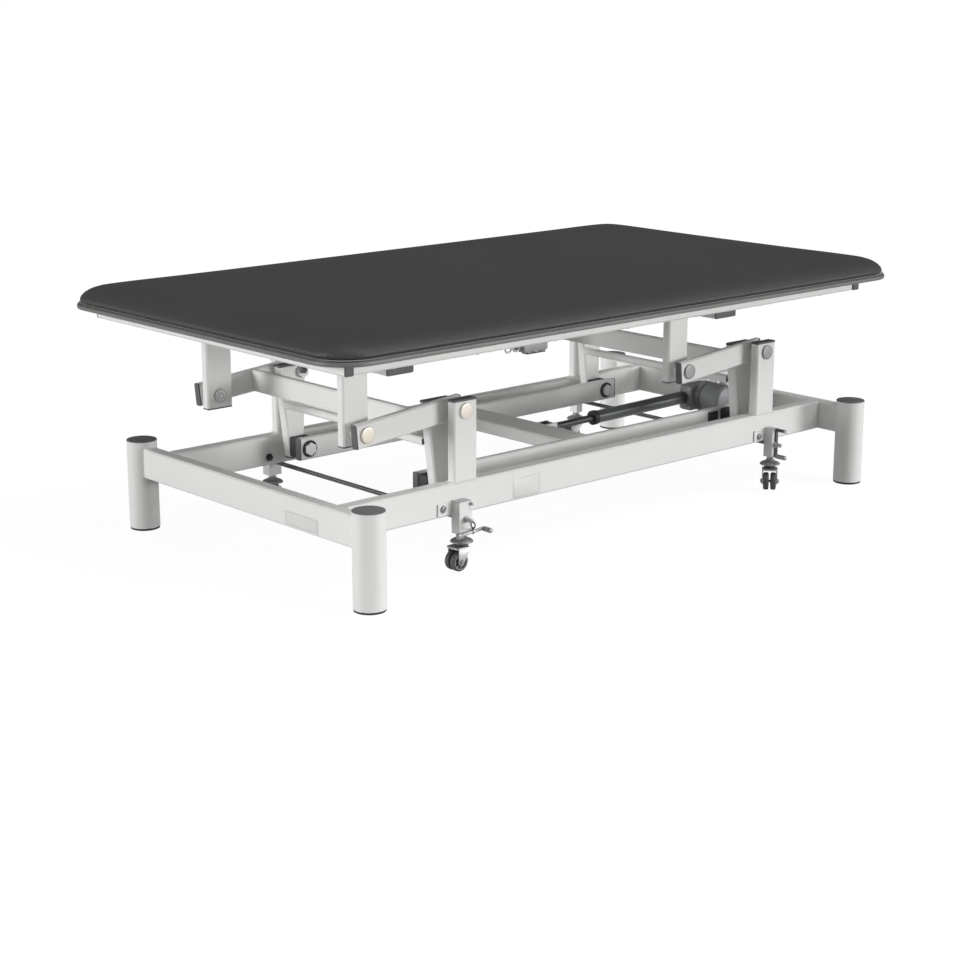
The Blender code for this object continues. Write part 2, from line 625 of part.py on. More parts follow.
# Actuator, laid along X from the rod's eye; its body slides on the rod
def build_actuator():
    eye_half = EYE_WIDTH / 2
    rod = piece("actuator_rod", bar(ROD_RADIUS, (0, 0, 0), (ROD_LENGTH, 0, 0)), STEEL, ROD)
    join(rod, bar(EYE_RADIUS, (0, -eye_half, 0), (0, eye_half, 0)))
    cut(rod, bar(EYE_PIN_RADIUS + GAP, (0, -EYE_WIDTH, 0), (0, EYE_WIDTH, 0)))
    length = math.hypot(ACTUATOR_LENGTH, ACTUATOR_RISE)
    end = GEARBOX_START + GEARBOX_LENGTH
    low = (GEARBOX_START, -GEARBOX_FRONT, -GEARBOX_HEIGHT / 2)
    body = piece("actuator_body", block(low, (end, GEARBOX_BACK, GEARBOX_HEIGHT / 2)), MOTOR_BLACK, ROD)
    round_edges(body, TUBE_CORNER)
    motor_x = end - MOTOR_FROM_END
    tongue_end = length + TONGUE_BEYOND
    half_w, half_h = TONGUE_WIDTH / 2, TONGUE_HEIGHT / 2
    pin_reach = half_w + REAR_LUG_PLAY + 2 * REAR_LUG_THICKNESS
    join(
        body,
        bar(TUBE_RADIUS, (TUBE_START, 0, 0), (GEARBOX_START + WELD, 0, 0)),
        bar(COLLAR_RADIUS, (TUBE_START, 0, 0), (TUBE_START + COLLAR_LENGTH, 0, 0)),
        bar(MOTOR_RADIUS, (motor_x, 0, 0), (motor_x, -MOTOR_LENGTH, 0), LEG_SIDES),
        block((end - WELD, -half_w, -half_h), (tongue_end, half_w, half_h)),
        bar(REAR_PIN_RADIUS, (length, -pin_reach, 0), (length, pin_reach, 0)),
    )
    bore_end = ROD_LENGTH + ROD_TRAVEL_IN
    cut(body, bar(ROD_RADIUS + GAP, (TUBE_START - COLLAR_LENGTH, 0, 0), (bore_end, 0, 0)))


# Bracket on the right rail whose slots hold the actuator's rear pin
def build_rear_bracket():
    pivot = Vector((EYE_X + ACTUATOR_LENGTH, ACTUATOR_Y, EYE_Z + ACTUATOR_RISE))
    rail_face = BASE_X + LEG_SPACING_X / 2 - END_RAIL_WIDTH / 2 - GAP
    plate_face = rail_face - REAR_PLATE
    half = REAR_PLATE_WIDTH / 2
    low = (plate_face, ACTUATOR_Y - half, RAIL_BOTTOM + TUBE_CORNER)
    high = (rail_face, ACTUATOR_Y + half, RAIL_TOP - TUBE_CORNER)
    bracket = piece("rear_bracket", block(low, high), WHITE_PAINT, BASE)
    slot_low = pivot - Vector((REAR_PIN_RADIUS + PIVOT_DRIFT_FRONT, half, REAR_PIN_RADIUS + PIVOT_DRIFT_DOWN))
    slot_high = pivot + Vector((REAR_PIN_RADIUS + PIVOT_DRIFT_BACK, half, REAR_PIN_RADIUS + PIVOT_DRIFT_UP))
    inner = TONGUE_WIDTH / 2 + REAR_LUG_PLAY
    outer = inner + REAR_LUG_THICKNESS
    for sign in (-1, 1):
        low_y, high_y = sorted((ACTUATOR_Y + sign * inner, ACTUATOR_Y + sign * outer))
        low = (slot_low.x - REAR_LUG_MARGIN, low_y, slot_low.z - REAR_LUG_MARGIN)
        join(bracket, block(low, (plate_face + WELD, high_y, slot_high.z + REAR_LUG_MARGIN)))
    cut(bracket, block(slot_low, slot_high))


# Housing on the rail, plunger, swivelling fork and twin wheels
def build_castor(name, row, x, width, swivel):
    y = row * CASTOR_Y
    half_w, half_d = width / 2, HOUSING_DEPTH / 2
    skin = block((-half_w, -half_d, HOUSING_BOTTOM), (half_w, half_d, HOUSING_TOP))
    skin.normal_update()
    open_end = [face for face in skin.faces if face.normal.z < -0.5]
    bmesh.ops.delete(skin, geom=open_end, context="FACES_ONLY")
    housing = piece(f"castor_housing_{name}", skin, WHITE_PAINT, BASE, (x, y, 0))
    hollow(housing, TUBE_WALL, None)
    low_y, high_y = sorted((-row * half_d, -row * (half_d - EAR_THICKNESS)))
    low = (-half_w - EAR_LENGTH, low_y, HOUSING_TOP - EAR_HEIGHT)
    join(housing, block(low, (WELD - half_w, high_y, HOUSING_TOP - WELD)))
    cut(housing, bar(SHAFT_RADIUS + GAP, (0, -HOUSING_DEPTH, SHAFT_Z), (0, HOUSING_DEPTH, SHAFT_Z)))
    build_plunger(name, x, y, half_w - TUBE_WALL - GAP, half_d - TUBE_WALL - GAP)
    build_fork(name, x, y, swivel)


# Plunger that slides in the housing and carries the round dish and the swivel stem
def build_plunger(name, x, y, half_w, half_d):
    head_low = (-half_w, -half_d, HOUSING_BOTTOM + PLUNGER_SEAT)
    head = block(head_low, (half_w, half_d, SHAFT_Z - SHAFT_RADIUS - GAP))
    plunger = piece(f"castor_plunger_{name}", head, ZINC, BASE, (x, y, 0))
    stem_end = FORK_PLATE_Z - GAP - STEM_HEAD_HEIGHT
    join(
        plunger,
        bar(STEM_RADIUS, (0, 0, stem_end + WELD), (0, 0, HOUSING_BOTTOM + PLUNGER_SEAT + WELD)),
        bar(DISH_RADIUS, (0, 0, DISH_Z), (0, 0, DISH_Z + DISH_THICKNESS), LEG_SIDES),
        bar(BEARING_RADIUS, (0, 0, DISH_Z - BEARING_HEIGHT), (0, 0, DISH_Z + WELD)),
        bar(STEM_HEAD_RADIUS, (0, 0, stem_end), (0, 0, FORK_PLATE_Z - GAP)),
    )


# Fork that swivels on the plunger's stem, with its axle and the twin wheels
def build_fork(name, x, y, swivel):
    inner = WHEEL_WIDTH + WHEEL_SPLIT / 2 + GAP
    outer = inner + FORK_ARM
    half = FORK_LENGTH / 2
    top = FORK_PLATE_Z + FORK_PLATE
    edge = outer + FORK_LIP
    middle = -FORK_TRAIL / 2
    low = (middle - half, -edge, FORK_PLATE_Z)
    fork = piece(f"castor_fork_{name}", block(low, (middle + half, edge, top)), ZINC, BASE, (x, y, 0))
    fork.rotation_euler.z = swivel
    drop = AXLE_Z - FORK_PLATE_Z
    round_end = arc((0, drop), FORK_ARM_END_RADIUS, -math.pi, 0, CORNER_STEPS)
    outline = [(FORK_ARM_FRONT, WELD), (-FORK_ARM_BACK, WELD)] + round_end
    for sign in (-1, 1):
        arm = plate(outline, FORK_ARM)
        stand = Matrix.Translation((-FORK_TRAIL, sign * (inner + outer) / 2, FORK_PLATE_Z))
        bmesh.ops.transform(arm, matrix=stand @ Matrix.Rotation(math.pi / 2, 4, "X"), verts=arm.verts)
        join(fork, arm)
    reach = outer + AXLE_HEAD
    join(fork, bar(AXLE_RADIUS, (-FORK_TRAIL, -reach, AXLE_Z), (-FORK_TRAIL, reach, AXLE_Z)))
    cut(fork, bar(STEM_RADIUS + GAP, (0, 0, AXLE_Z), (0, 0, top + FORK_PLATE)))
    wheels = piece(f"castor_wheels_{name}", wheel_profile(), TREAD, fork, (-FORK_TRAIL, 0, AXLE_Z))
    wheels.rotation_euler.x = math.pi / 2
    turn = wheels.modifiers.new("turn", "SCREW")
    turn.steps = WHEEL_SIDES
    turn.render_steps = WHEEL_SIDES
    turn.use_merge_vertices = True
    turn.merge_threshold = 0.01 * MM


# Half section of the twin wheels, down the outside and back up the bore
def wheel_profile():
    bore = AXLE_RADIUS + GAP
    split = WHEEL_SPLIT / 2
    face = split + WHEEL_WIDTH
    shoulder = WHEEL_RADIUS - WHEEL_SHOULDER
    half = [(bore, face), (shoulder, face), (WHEEL_RADIUS, face - WHEEL_SHOULDER)]
    half += [(WHEEL_RADIUS, split + WHEEL_SHOULDER), (shoulder, split), (WHEEL_HUB_RADIUS, split)]
    points = half + [(radius, -height) for radius, height in reversed(half)]
    shape = bmesh.new()
    corners = [shape.verts.new((radius, 0, height)) for radius, height in points]
    for first, second in zip(corners, corners[1:] + corners[:1]):
        shape.edges.new((first, second))
    return shape


# Shaft through both castors of one end, with the pedal that turns it
def build_pedal(side, x, reach=0.0):
    pivot = axis(f"{side}_pedal_axis", (x, 0, SHAFT_Z), BASE)
    front = CASTOR_Y + HOUSING_DEPTH / 2 + GAP
    pedal_y = front + GRIP_RADIUS + GAP
    shaft = piece(
        f"castor_shaft_{side}",
        bar(SHAFT_RADIUS, (0, -front - CRANK_THICKNESS + WELD, 0), (0, front + CRANK_THICKNESS, 0)),
        ZINC,
        pivot,
    )
    half = CRANK_WIDTH / 2
    start = Vector((0, -pedal_y, -PEDAL_DROP))
    bend = start + Vector((reach, 0, reach * math.tan(PEDAL_SLOPE)))
    root = bend + Vector((0, PEDAL_RADIUS, 0))
    crank_low = (-half, -front - CRANK_THICKNESS, -PEDAL_DROP - half)
    join(shaft, block(crank_low, (half, -front, CRANK_RISE)))
    if reach:
        join(shaft, bar(PEDAL_RADIUS, start, bend))
    join(shaft, bar(GRIP_RADIUS, root, bend - Vector((0, GRIP_LENGTH, 0))))


build_base()
for side, shift in SIDES:
    for row_name, row in ROWS:
        corner = f"{row_name}_{side}"
        build_post(corner, row, ARMS[side])
        build_crank(corner, row, ARMS[side])
        build_hanger(corner, row, shift)
    build_arm_ties(side, ARMS[side])
build_top()
build_tie_frame()
build_actuator()
build_rear_bracket()
LEFT_CASTORS = ARM_X + CASTOR_OFFSET_LEFT
RIGHT_CASTORS = ARM_X + POST_SPACING + CASTOR_OFFSET_RIGHT
build_castor("front_left", -1, LEFT_CASTORS, HOUSING_WIDTH_LEFT, SWIVEL_FRONT_LEFT)
build_castor("back_left", 1, LEFT_CASTORS, HOUSING_WIDTH_LEFT, SWIVEL_BACK_LEFT)
build_castor("front_right", -1, RIGHT_CASTORS, HOUSING_WIDTH_RIGHT, SWIVEL_FRONT_RIGHT)
build_castor("back_right", 1, RIGHT_CASTORS, HOUSING_WIDTH_RIGHT, SWIVEL_BACK_RIGHT)
build_pedal("left", LEFT_CASTORS, PEDAL_REACH_LEFT)
build_pedal("right", RIGHT_CASTORS)
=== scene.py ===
import json
import math

import bmesh
import bpy
import numpy as np
from mathutils import Matrix, Vector


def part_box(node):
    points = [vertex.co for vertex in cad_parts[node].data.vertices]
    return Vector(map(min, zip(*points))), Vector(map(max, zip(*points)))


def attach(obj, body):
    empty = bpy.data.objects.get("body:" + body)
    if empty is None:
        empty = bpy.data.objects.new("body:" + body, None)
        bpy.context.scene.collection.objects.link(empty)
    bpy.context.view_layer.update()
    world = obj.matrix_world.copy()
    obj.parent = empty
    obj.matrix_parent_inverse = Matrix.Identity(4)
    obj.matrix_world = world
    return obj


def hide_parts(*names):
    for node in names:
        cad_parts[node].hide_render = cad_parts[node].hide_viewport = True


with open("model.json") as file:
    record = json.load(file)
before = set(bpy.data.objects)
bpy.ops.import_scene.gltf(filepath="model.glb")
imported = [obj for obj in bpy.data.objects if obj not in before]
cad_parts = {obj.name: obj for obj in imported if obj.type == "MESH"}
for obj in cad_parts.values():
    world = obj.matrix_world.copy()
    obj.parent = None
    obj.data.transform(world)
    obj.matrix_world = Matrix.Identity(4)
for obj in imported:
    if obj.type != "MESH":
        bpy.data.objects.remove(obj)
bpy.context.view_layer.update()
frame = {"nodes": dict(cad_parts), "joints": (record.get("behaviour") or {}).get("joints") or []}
nodes = frame["nodes"]
scene = bpy.context.scene
mm = 0.001
rows = {"front": -1, "back": 1}  # front is towards -Y
ends = {"left": -1, "right": 1}  # left is towards -X
corners = [(row, end) for row in rows for end in ends]
pivot = {joint["name"]: Vector(joint["pos_m"]) for joint in frame["joints"] if "pos_m" in joint}
armShift = {"left": Vector(), "right": pivot["right_arm_swing"] - pivot["lift"]}  # from the left arms
print("frame loaded:", len(nodes), "nodes")


def show(name, data):
    made = bpy.data.objects.new(name, data)
    scene.collection.objects.link(made)
    return made


def evaluated(holder):
    return bpy.data.meshes.new_from_object(holder.evaluated_get(bpy.context.evaluated_depsgraph_get()))


def toMesh(name, shape):
    mesh = bpy.data.meshes.new(name)
    shape.to_mesh(mesh)
    shape.free()
    return mesh


def toShape(mesh):
    shape = bmesh.new()
    shape.from_mesh(mesh)
    bpy.data.meshes.remove(mesh)
    return shape


camera = {"place": (-3.624333, -3.941986, 1.465673), "turn": 0.734, "dip": 0.254, "lens": 75.11, "sensor": 36.0}
viewer = show("camera", bpy.data.cameras.new("camera"))
viewer.data.lens = camera["lens"]
viewer.data.sensor_width = camera["sensor"]
viewer.location = camera["place"]
ahead = Vector((math.sin(camera["turn"]), math.cos(camera["turn"]), -math.tan(camera["dip"])))
viewer.rotation_euler = ahead.to_track_quat("-Z", "Y").to_euler()
scene.camera = viewer
scene.view_settings.view_transform = "Standard"


def linear(hexColour):
    parts = [int(hexColour[at:at + 2], 16) / 255 for at in (1, 3, 5)]
    return [part / 12.92 if part <= 0.04045 else ((part + 0.055) / 1.055) ** 2.4 for part in parts] + [1.0]


def addNode(tree, kind, settings=None, links=None):
    node = tree.nodes.new(kind)
    for key, value in (settings or {}).items():
        if isinstance(key, int) or key in node.inputs:
            node.inputs[key].default_value = value
        else:
            setattr(node, key, value)
    for key, socket in (links or {}).items():
        tree.links.new(socket, node.inputs[key])
    return node


# lamps, sky and floor
studio = {
    "low": {"turn": (86, 0, 31), "strength": 2.25, "spread": 24},
    "high": {"turn": (40, 0, 31), "strength": 1.1, "spread": 30},
    "side": {"turn": (81, 0, -110), "strength": 2.45, "spread": 30},
    "above": {"turn": (4, 0, 0), "strength": 0.35, "spread": 24},
    "sky": "#ffffff", "skyStrength": 0.14, "floor": "#bebebd", "floorSize": 60.0, "floorDrop": 0.2,
    "floorWhite": 0.8, "floorGlow": 1.18, "floorGloss": 0.45,
}
for lampName in ("low", "high", "side", "above"):
    lamp = bpy.data.lights.new(lampName + "_lamp", "SUN")
    lamp.energy = studio[lampName]["strength"]
    lamp.angle = math.radians(studio[lampName]["spread"])
    lampStand = show(lampName + "_lamp", lamp)
    lampStand.rotation_euler = [math.radians(part) for part in studio[lampName]["turn"]]

sky = bpy.data.worlds.new("studio_sky")
scene.world = sky
sky.use_nodes = True
tree = sky.node_tree
tree.nodes.clear()
rays = addNode(tree, "ShaderNodeLightPath").outputs
direct = {0: rays["Is Camera Ray"], 1: rays["Is Transmission Ray"]}
clear = addNode(tree, "ShaderNodeMath", {"operation": "MAXIMUM"}, direct)
white = addNode(tree, "ShaderNodeBackground", {"Color": linear(studio["sky"]), "Strength": 1.0})
dim = addNode(tree, "ShaderNodeBackground", {"Color": linear(studio["sky"]), "Strength": studio["skyStrength"]})
both = addNode(tree, "ShaderNodeMixShader", {}, {0: clear.outputs[0], 1: dim.outputs[0], 2: white.outputs[0]})
addNode(tree, "ShaderNodeOutputWorld", {}, {"Surface": both.outputs[0]})

floorLook = bpy.data.materials.new("pale_studio_floor")
floorLook.use_nodes = True
tree = floorLook.node_tree
tree.nodes.clear()
rays = addNode(tree, "ShaderNodeLightPath").outputs
glossy = {"operation": "MULTIPLY_ADD", 1: studio["floorGloss"]}
seen = addNode(tree, "ShaderNodeMath", glossy, {0: rays["Is Glossy Ray"], 2: rays["Is Camera Ray"]})
share = addNode(tree, "ShaderNodeMath", {"operation": "MULTIPLY", 1: studio["floorWhite"]}, {0: seen.outputs[0]})
matt = addNode(tree, "ShaderNodeBsdfDiffuse", {"Color": linear(studio["floor"])})
glow = addNode(tree, "ShaderNodeEmission", {"Color": linear(studio["sky"]), "Strength": studio["floorGlow"]})
both = addNode(tree, "ShaderNodeMixShader", {}, {0: share.outputs[0], 1: matt.outputs[0], 2: glow.outputs[0]})
addNode(tree, "ShaderNodeOutputMaterial", {}, {"Surface": both.outputs[0]})
floorShape = bmesh.new()
bmesh.ops.create_grid(floorShape, x_segments=4, y_segments=4, size=studio["floorSize"])
floorMesh = toMesh("studio_floor", floorShape)
floorMesh.materials.append(floorLook)
floor = show("studio_floor", floorMesh)
floor.location.z = -studio["floorDrop"] * mm
print("studio and camera set")


# a finish with drifting colour, patchy gloss and a fine relief; sizes in mm
def finish(name, colour, shade, patch, grain, depth, rough, metallic=0.0, ior=1.5, stretch=(1, 1, 1), cells=False):
    look = bpy.data.materials.new(name)
    look.use_nodes = True
    tree = look.node_tree
    shader = tree.nodes["Principled BSDF"]
    shader.inputs["Metallic"].default_value = metallic
    shader.inputs["IOR"].default_value = ior
    place = addNode(tree, "ShaderNodeTexCoord").outputs["Object"]
    lie = addNode(tree, "ShaderNodeMapping", {"Scale": stretch}, {"Vector": place})
    drift = addNode(tree, "ShaderNodeTexNoise", {"Scale": 1 / (patch * mm), "Detail": 3.0}, {"Vector": place})
    colours = {"data_type": "RGBA", 6: linear(colour), 7: linear(shade)}
    tint = addNode(tree, "ShaderNodeMix", colours, {0: drift.outputs[0]})
    tree.links.new(tint.outputs[2], shader.inputs["Base Color"])
    if cells:  # pebbled relief, as on embossed vinyl
        kind, pattern = "ShaderNodeTexVoronoi", {"feature": "SMOOTH_F1", "Smoothness": 0.6}
    else:
        kind, pattern = "ShaderNodeTexNoise", {"Detail": 2.0}
    relief = addNode(tree, kind, pattern | {"Scale": 1 / (grain * mm)}, {"Vector": lie.outputs[0]})
    levels = {"From Min": 0.25, "From Max": 0.75, "To Min": rough[0], "To Max": rough[1]}
    gloss = addNode(tree, "ShaderNodeMapRange", levels, {"Value": relief.outputs[0]})
    tree.links.new(gloss.outputs[0], shader.inputs["Roughness"])
    bump = addNode(tree, "ShaderNodeBump", {"Strength": 1.0, "Distance": depth * mm}, {"Height": relief.outputs[0]})
    tree.links.new(bump.outputs[0], shader.inputs["Normal"])
    return look


# polyester powder coat, baked on steel tube: soft gloss with a slight orange peel, drawn coarser than life to show
powderCoat = finish(
    "white_powder_coat", "#f1f1ef", "#e9e9e8", patch=260, grain=5, depth=0.03, rough=(0.32, 0.46))
# vinyl-coated cloth, embossed: charcoal with a low sheen, pebbles drawn coarser than life to show
charcoalVinyl = finish(
    "charcoal_embossed_vinyl", "#454443", "#3e3d3c", patch=420, grain=3.2, depth=0.05, rough=(0.44, 0.6),
    cells=True, ior=1.42)
# extruded PVC edging: satin grey
edgeGrey = finish(
    "grey_pvc_edging", "#737372", "#696968", patch=180, grain=6, depth=0.03, rough=(0.36, 0.5), stretch=(1, 1, 6))
# melamine-faced chipboard: flat pale grey with a faint fleck
melamine = finish(
    "pale_melamine_board", "#c9c9c6", "#bdbdba", patch=14, grain=9, depth=0.02, rough=(0.45, 0.58))
# moulded polyethylene plugs: dull charcoal
plugPlastic = finish(
    "charcoal_moulded_plugs", "#606164", "#565759", patch=30, grain=1.6, depth=0.03, rough=(0.5, 0.64))
# moulded black nylon: deep grey, dull; also used as painted shade in the tie bar holes, the screw slots and on the
# front tie bar
blackNylonAndShade = finish(
    "black_nylon_and_painted_shade", "#353638", "#2c2d2f", patch=20, grain=1.5, depth=0.03, rough=(0.5, 0.64))
# moulded ABS leg caps: mid grey, eggshell
capGrey = finish(
    "grey_abs_leg_caps", "#747577", "#6a6b6d", patch=40, grain=1.8, depth=0.03, rough=(0.42, 0.56))
# bright zinc plate on pressed steel: pale grey metal with cloudy gloss
zincPlate = finish(
    "bright_zinc_plate", "#bfbfbe", "#adaeae", patch=9, grain=3, depth=0.02, rough=(0.38, 0.5), metallic=0.6)
# die-cast zinc alloy: dull grey, slightly rough
castAlloy = finish(
    "die_cast_zinc_alloy", "#a4a5a7", "#8c8d90", patch=8, grain=1.5, depth=0.05, rough=(0.42, 0.6), metallic=0.5)
# yellow-passivated cap: pale cream metal
creamCap = finish(
    "pale_passivated_caps", "#e8e2d6", "#ded5c6", patch=12, grain=2, depth=0.02, rough=(0.3, 0.42), metallic=0.45)
# plain steel cap: brushed grey
greyCap = finish(
    "grey_steel_caps", "#9b9b9a", "#868685", patch=6, grain=1.5, depth=0.03, rough=(0.36, 0.5), metallic=0.7)
# blackened steel bar: dark with a dull shine
blackBar = finish(
    "blackened_steel_bar", "#5b5c5f", "#4b4c4f", patch=16, grain=2, depth=0.03, rough=(0.36, 0.52), metallic=0.7,
    stretch=(1, 0.15, 1))
# anodised aluminium extrusion: dark grey with faint lines along it
anodised = finish(
    "dark_anodised_aluminium", "#6c6e70", "#626466", patch=30, grain=1.2, depth=0.02, rough=(0.34, 0.46),
    metallic=0.6, stretch=(0.04, 1, 1))
# glass-filled nylon motor case: dark grey, sparked texture
motorCase = finish(
    "dark_nylon_motor_case", "#8c8e8f", "#818384", patch=24, grain=1.4, depth=0.05, rough=(0.48, 0.64))
# vulcanised rubber: near black, matt
footRubber = finish(
    "black_rubber_feet", "#39393a", "#2f2f30", patch=14, grain=1.2, depth=0.05, rough=(0.66, 0.82))
# grey thermoplastic rubber tread: dull
treadRubber = finish(
    "grey_tread_rubber", "#57585a", "#4b4c4e", patch=10, grain=1.4, depth=0.05, rough=(0.55, 0.7))
# moulded nylon hub: lighter grey
hubNylon = finish(
    "grey_nylon_hubs", "#a3a4a6", "#94959a", patch=9, grain=1.5, depth=0.03, rough=(0.4, 0.55))
# blank adhesive foil: satin off-white
blankFoil = finish(
    "blank_satin_foil", "#e6e6e4", "#dededc", patch=20, grain=2, depth=0.01, rough=(0.3, 0.4))
# printed border of the blank foil: pale grey line
foilLine = finish(
    "pale_grey_foil_line", "#c2c3c4", "#b8b9ba", patch=20, grain=2, depth=0.01, rough=(0.35, 0.45))

coated = (
    "base_rail", "post", "crank", "arm", "tie", "top_rail", "cross_tube", "hanger", "castor_housing", "rear_bracket",
    "leg",
)
cadLooks = dict.fromkeys(coated, powderCoat) | {
    "foot": footRubber, "pad": charcoalVinyl, "board": edgeGrey, "castor_plunger": castAlloy,
    "castor_fork": zincPlate, "castor_wheels": treadRubber, "castor_shaft": blackBar, "actuator_rod": blackBar,
    "actuator_body": motorCase,
}
for name, node in nodes.items():
    for start, look in cadLooks.items():
        if name.startswith(start):
            node.data.materials.clear()
            node.data.materials.append(look)
print("finishes on", len(nodes), "solids")


# turned shape about Z; the profile runs from the bottom middle, out, up and back in, or round a closed ring, in mm
def turned(profile, sides=48, closed=False):
    shape = bmesh.new()
    rings = []
    for radius, height in profile:
        r = radius * mm
        angles = [2 * math.pi * at / sides for at in range(sides if radius else 1)]
        rings.append([shape.verts.new((r * math.cos(a), r * math.sin(a), height * mm)) for a in angles])
    for low, high in zip(rings, rings[1:] + rings[:1] if closed else rings[1:]):
        for at in range(sides):
            after = (at + 1) % sides
            ring = [low[at % len(low)], low[after % len(low)], high[after % len(high)], high[at % len(high)]]
            shape.faces.new(list(dict.fromkeys(ring)))
    return shape


# rectangle with round corners in the XY plane
def softRectangle(halfX, halfY, radius, z, steps=6):
    points = []
    for quarter, (sx, sy) in enumerate(((1, 1), (-1, 1), (-1, -1), (1, -1))):
        for step in range(steps + 1):
            angle = (quarter + step / steps) * math.pi / 2
            x = sx * (halfX - radius) + radius * math.cos(angle)
            points.append(Vector((x, sy * (halfY - radius) + radius * math.sin(angle), z)))
    return points


# skin over rings of points, with its ends covered or, for a frame, joined to each other
def skin(rings, closed=False):
    shape = bmesh.new()
    made = [[shape.verts.new(point) for point in ring] for ring in rings]
    count = len(made[0])
    for low, high in zip(made, made[1:] + made[:1] if closed else made[1:]):
        for at in range(count):
            shape.faces.new((low[at], low[(at + 1) % count], high[(at + 1) % count], high[at]))
    if not closed:
        shape.faces.new(list(reversed(made[0])))
        shape.faces.new(made[-1])
    return shape


# insets and heights up the side of a plate with soft edges
def softEdges(height, soft):
    ease = soft * 0.3
    return [(soft, 0), (ease, ease), (0, soft), (0, height - soft), (ease, height - ease), (soft, height)]


# flat plate from an outline that runs anticlockwise, with soft edges; sizes in mm
def slab(outline, thickness, soft=0.5):
    count = len(outline)
    points = [Vector(point) for point in outline]
    inward = []
    for at in range(count):
        run = points[(at + 1) % count] - points[at - 1]
        inward.append(Vector((-run.y, run.x)).normalized())
    rings = []
    for inset, z in softEdges(thickness, soft):
        rings.append([Vector((*(point + way * inset), z)) * mm for point, way in zip(points, inward)])
    return skin(rings)


# arc of points in mm, angles in degrees
def arcPoints(centre, radius, start, stop, steps):
    turns = [math.radians(start + (stop - start) * step / steps) for step in range(steps + 1)]
    return [(centre[0] + radius * math.cos(turn), centre[1] + radius * math.sin(turn)) for turn in turns]


# block with round corners in plan and soft upper and lower edges; sizes in mm
def softBlock(sizeX, sizeY, sizeZ, corner, edge):
    rings = []
    for inset, z in softEdges(sizeZ, edge):
        halfX, halfY = (sizeX / 2 - inset) * mm, (sizeY / 2 - inset) * mm
        rings.append(softRectangle(halfX, halfY, max(corner - inset, 0.2) * mm, z * mm))
    return skin(rings)


# place a shape that stands on Z: its X along sideways, its Z along up
def stand(shape, place, up=(0, 0, 1), sideways=(1, 0, 0)):
    up = Vector(up).normalized()
    sideways = Vector(sideways)
    sideways -= up * sideways.dot(up)
    sideways = (sideways if sideways.length > 0.01 else up.orthogonal()).normalized()
    turn = Matrix((sideways, up.cross(sideways), up)).transposed().to_4x4()
    bmesh.ops.transform(shape, matrix=Matrix.Translation(place) @ turn, verts=shape.verts)
    return shape


def paint(shape, index):
    for face in shape.faces:
        face.material_index = index
    return shape


# one more shape for a piece: painted with the piece's finish of that number and put in its place
def add(shapes, index, shape, *where):
    shapes.append(paint(stand(shape, *where), index))


def gather(shapes):
    whole = bmesh.new()
    for shape in shapes:
        mesh = toMesh("gathered", shape)
        whole.from_mesh(mesh)
        bpy.data.meshes.remove(mesh)
    return whole


# bar of round section along a path; sizes in mm
def rod(points, radius, soft=4):
    curve = bpy.data.curves.new("rod", "CURVE")
    curve.dimensions = "3D"
    curve.bevel_depth = radius * mm
    curve.bevel_resolution = soft
    curve.use_fill_caps = True
    line = curve.splines.new("POLY")
    line.points.add(len(points) - 1)
    for spot, point in zip(line.points, points):
        spot.co = (*(point * mm), 1)
    holder = show("rod", curve)
    shape = toShape(evaluated(holder))
    bpy.data.objects.remove(holder)
    bmesh.ops.remove_doubles(shape, verts=shape.verts, dist=0.01 * mm)
    bmesh.ops.recalc_face_normals(shape, faces=shape.faces)
    return shape


# smooth path through a few points
def eased(points, steps=8):
    path = []
    ring = [points[0]] + list(points) + [points[-1]]
    for a, b, c, d in zip(ring, ring[1:], ring[2:], ring[3:]):
        for step in range(steps):
            t = step / steps
            bend, twist = 2 * a - 5 * b + 4 * c - d, 3 * b - a - 3 * c + d
            path.append(0.5 * ((2 * b) + (c - a) * t + bend * t * t + twist * t * t * t))
    return path + [points[-1]]


def addPiece(name, shape, looks, body, sharp=32):
    if isinstance(shape, bmesh.types.BMesh):
        mesh = toMesh(name, shape)
        for look in looks:
            mesh.materials.append(look)
    else:
        mesh = shape
    mesh.shade_smooth()
    mesh.set_sharp_from_angle(angle=math.radians(sharp))
    made = show(name, mesh)
    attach(made, body)
    return made


# node trees: an input shape, named sizes, then real geometry with its finish
def newTree(name, sockets):
    tree = bpy.data.node_groups.new(name, "GeometryNodeTree")
    tree.interface.new_socket("Shape", in_out="INPUT", socket_type="NodeSocketGeometry")
    for label, kind in sockets.items():
        tree.interface.new_socket(label, in_out="INPUT", socket_type="NodeSocket" + kind)
    tree.interface.new_socket("Finish", in_out="INPUT", socket_type="NodeSocketMaterial")
    tree.interface.new_socket("Result", in_out="OUTPUT", socket_type="NodeSocketGeometry")
    return tree, addNode(tree, "NodeGroupInput").outputs


def closeTree(tree, spots, shape, rotation, look, scale=(1.0, 1.0, 1.0)):
    links = {0: spots, "Instance": shape, "Rotation": rotation}
    copies = addNode(tree, "GeometryNodeInstanceOnPoints", {"Scale": scale}, links)
    real = addNode(tree, "GeometryNodeRealizeInstances", {}, {0: copies.outputs[0]})
    painted = addNode(tree, "GeometryNodeSetMaterial", {}, {0: real.outputs[0], "Material": look})
    addNode(tree, "NodeGroupOutput", {}, {0: painted.outputs[0]})


def grow(tree, base, values):
    holder = show("grown", base)
    step = holder.modifiers.new("nodes", "NODES")
    step.node_group = tree
    for label, value in values.items():
        step[tree.interface.items_tree[label].identifier] = value
    made = evaluated(holder)
    holder.modifiers.remove(step)
    bpy.data.objects.remove(holder)
    return made


def pathMesh(paths):
    points, edges = [], []
    for line in paths:
        edges += [(len(points) + at, len(points) + at + 1) for at in range(len(line) - 1)]
        points += [tuple(Vector(point) * mm) for point in line]
    mesh = bpy.data.meshes.new("paths")
    mesh.from_pydata(points, edges, [])
    return mesh


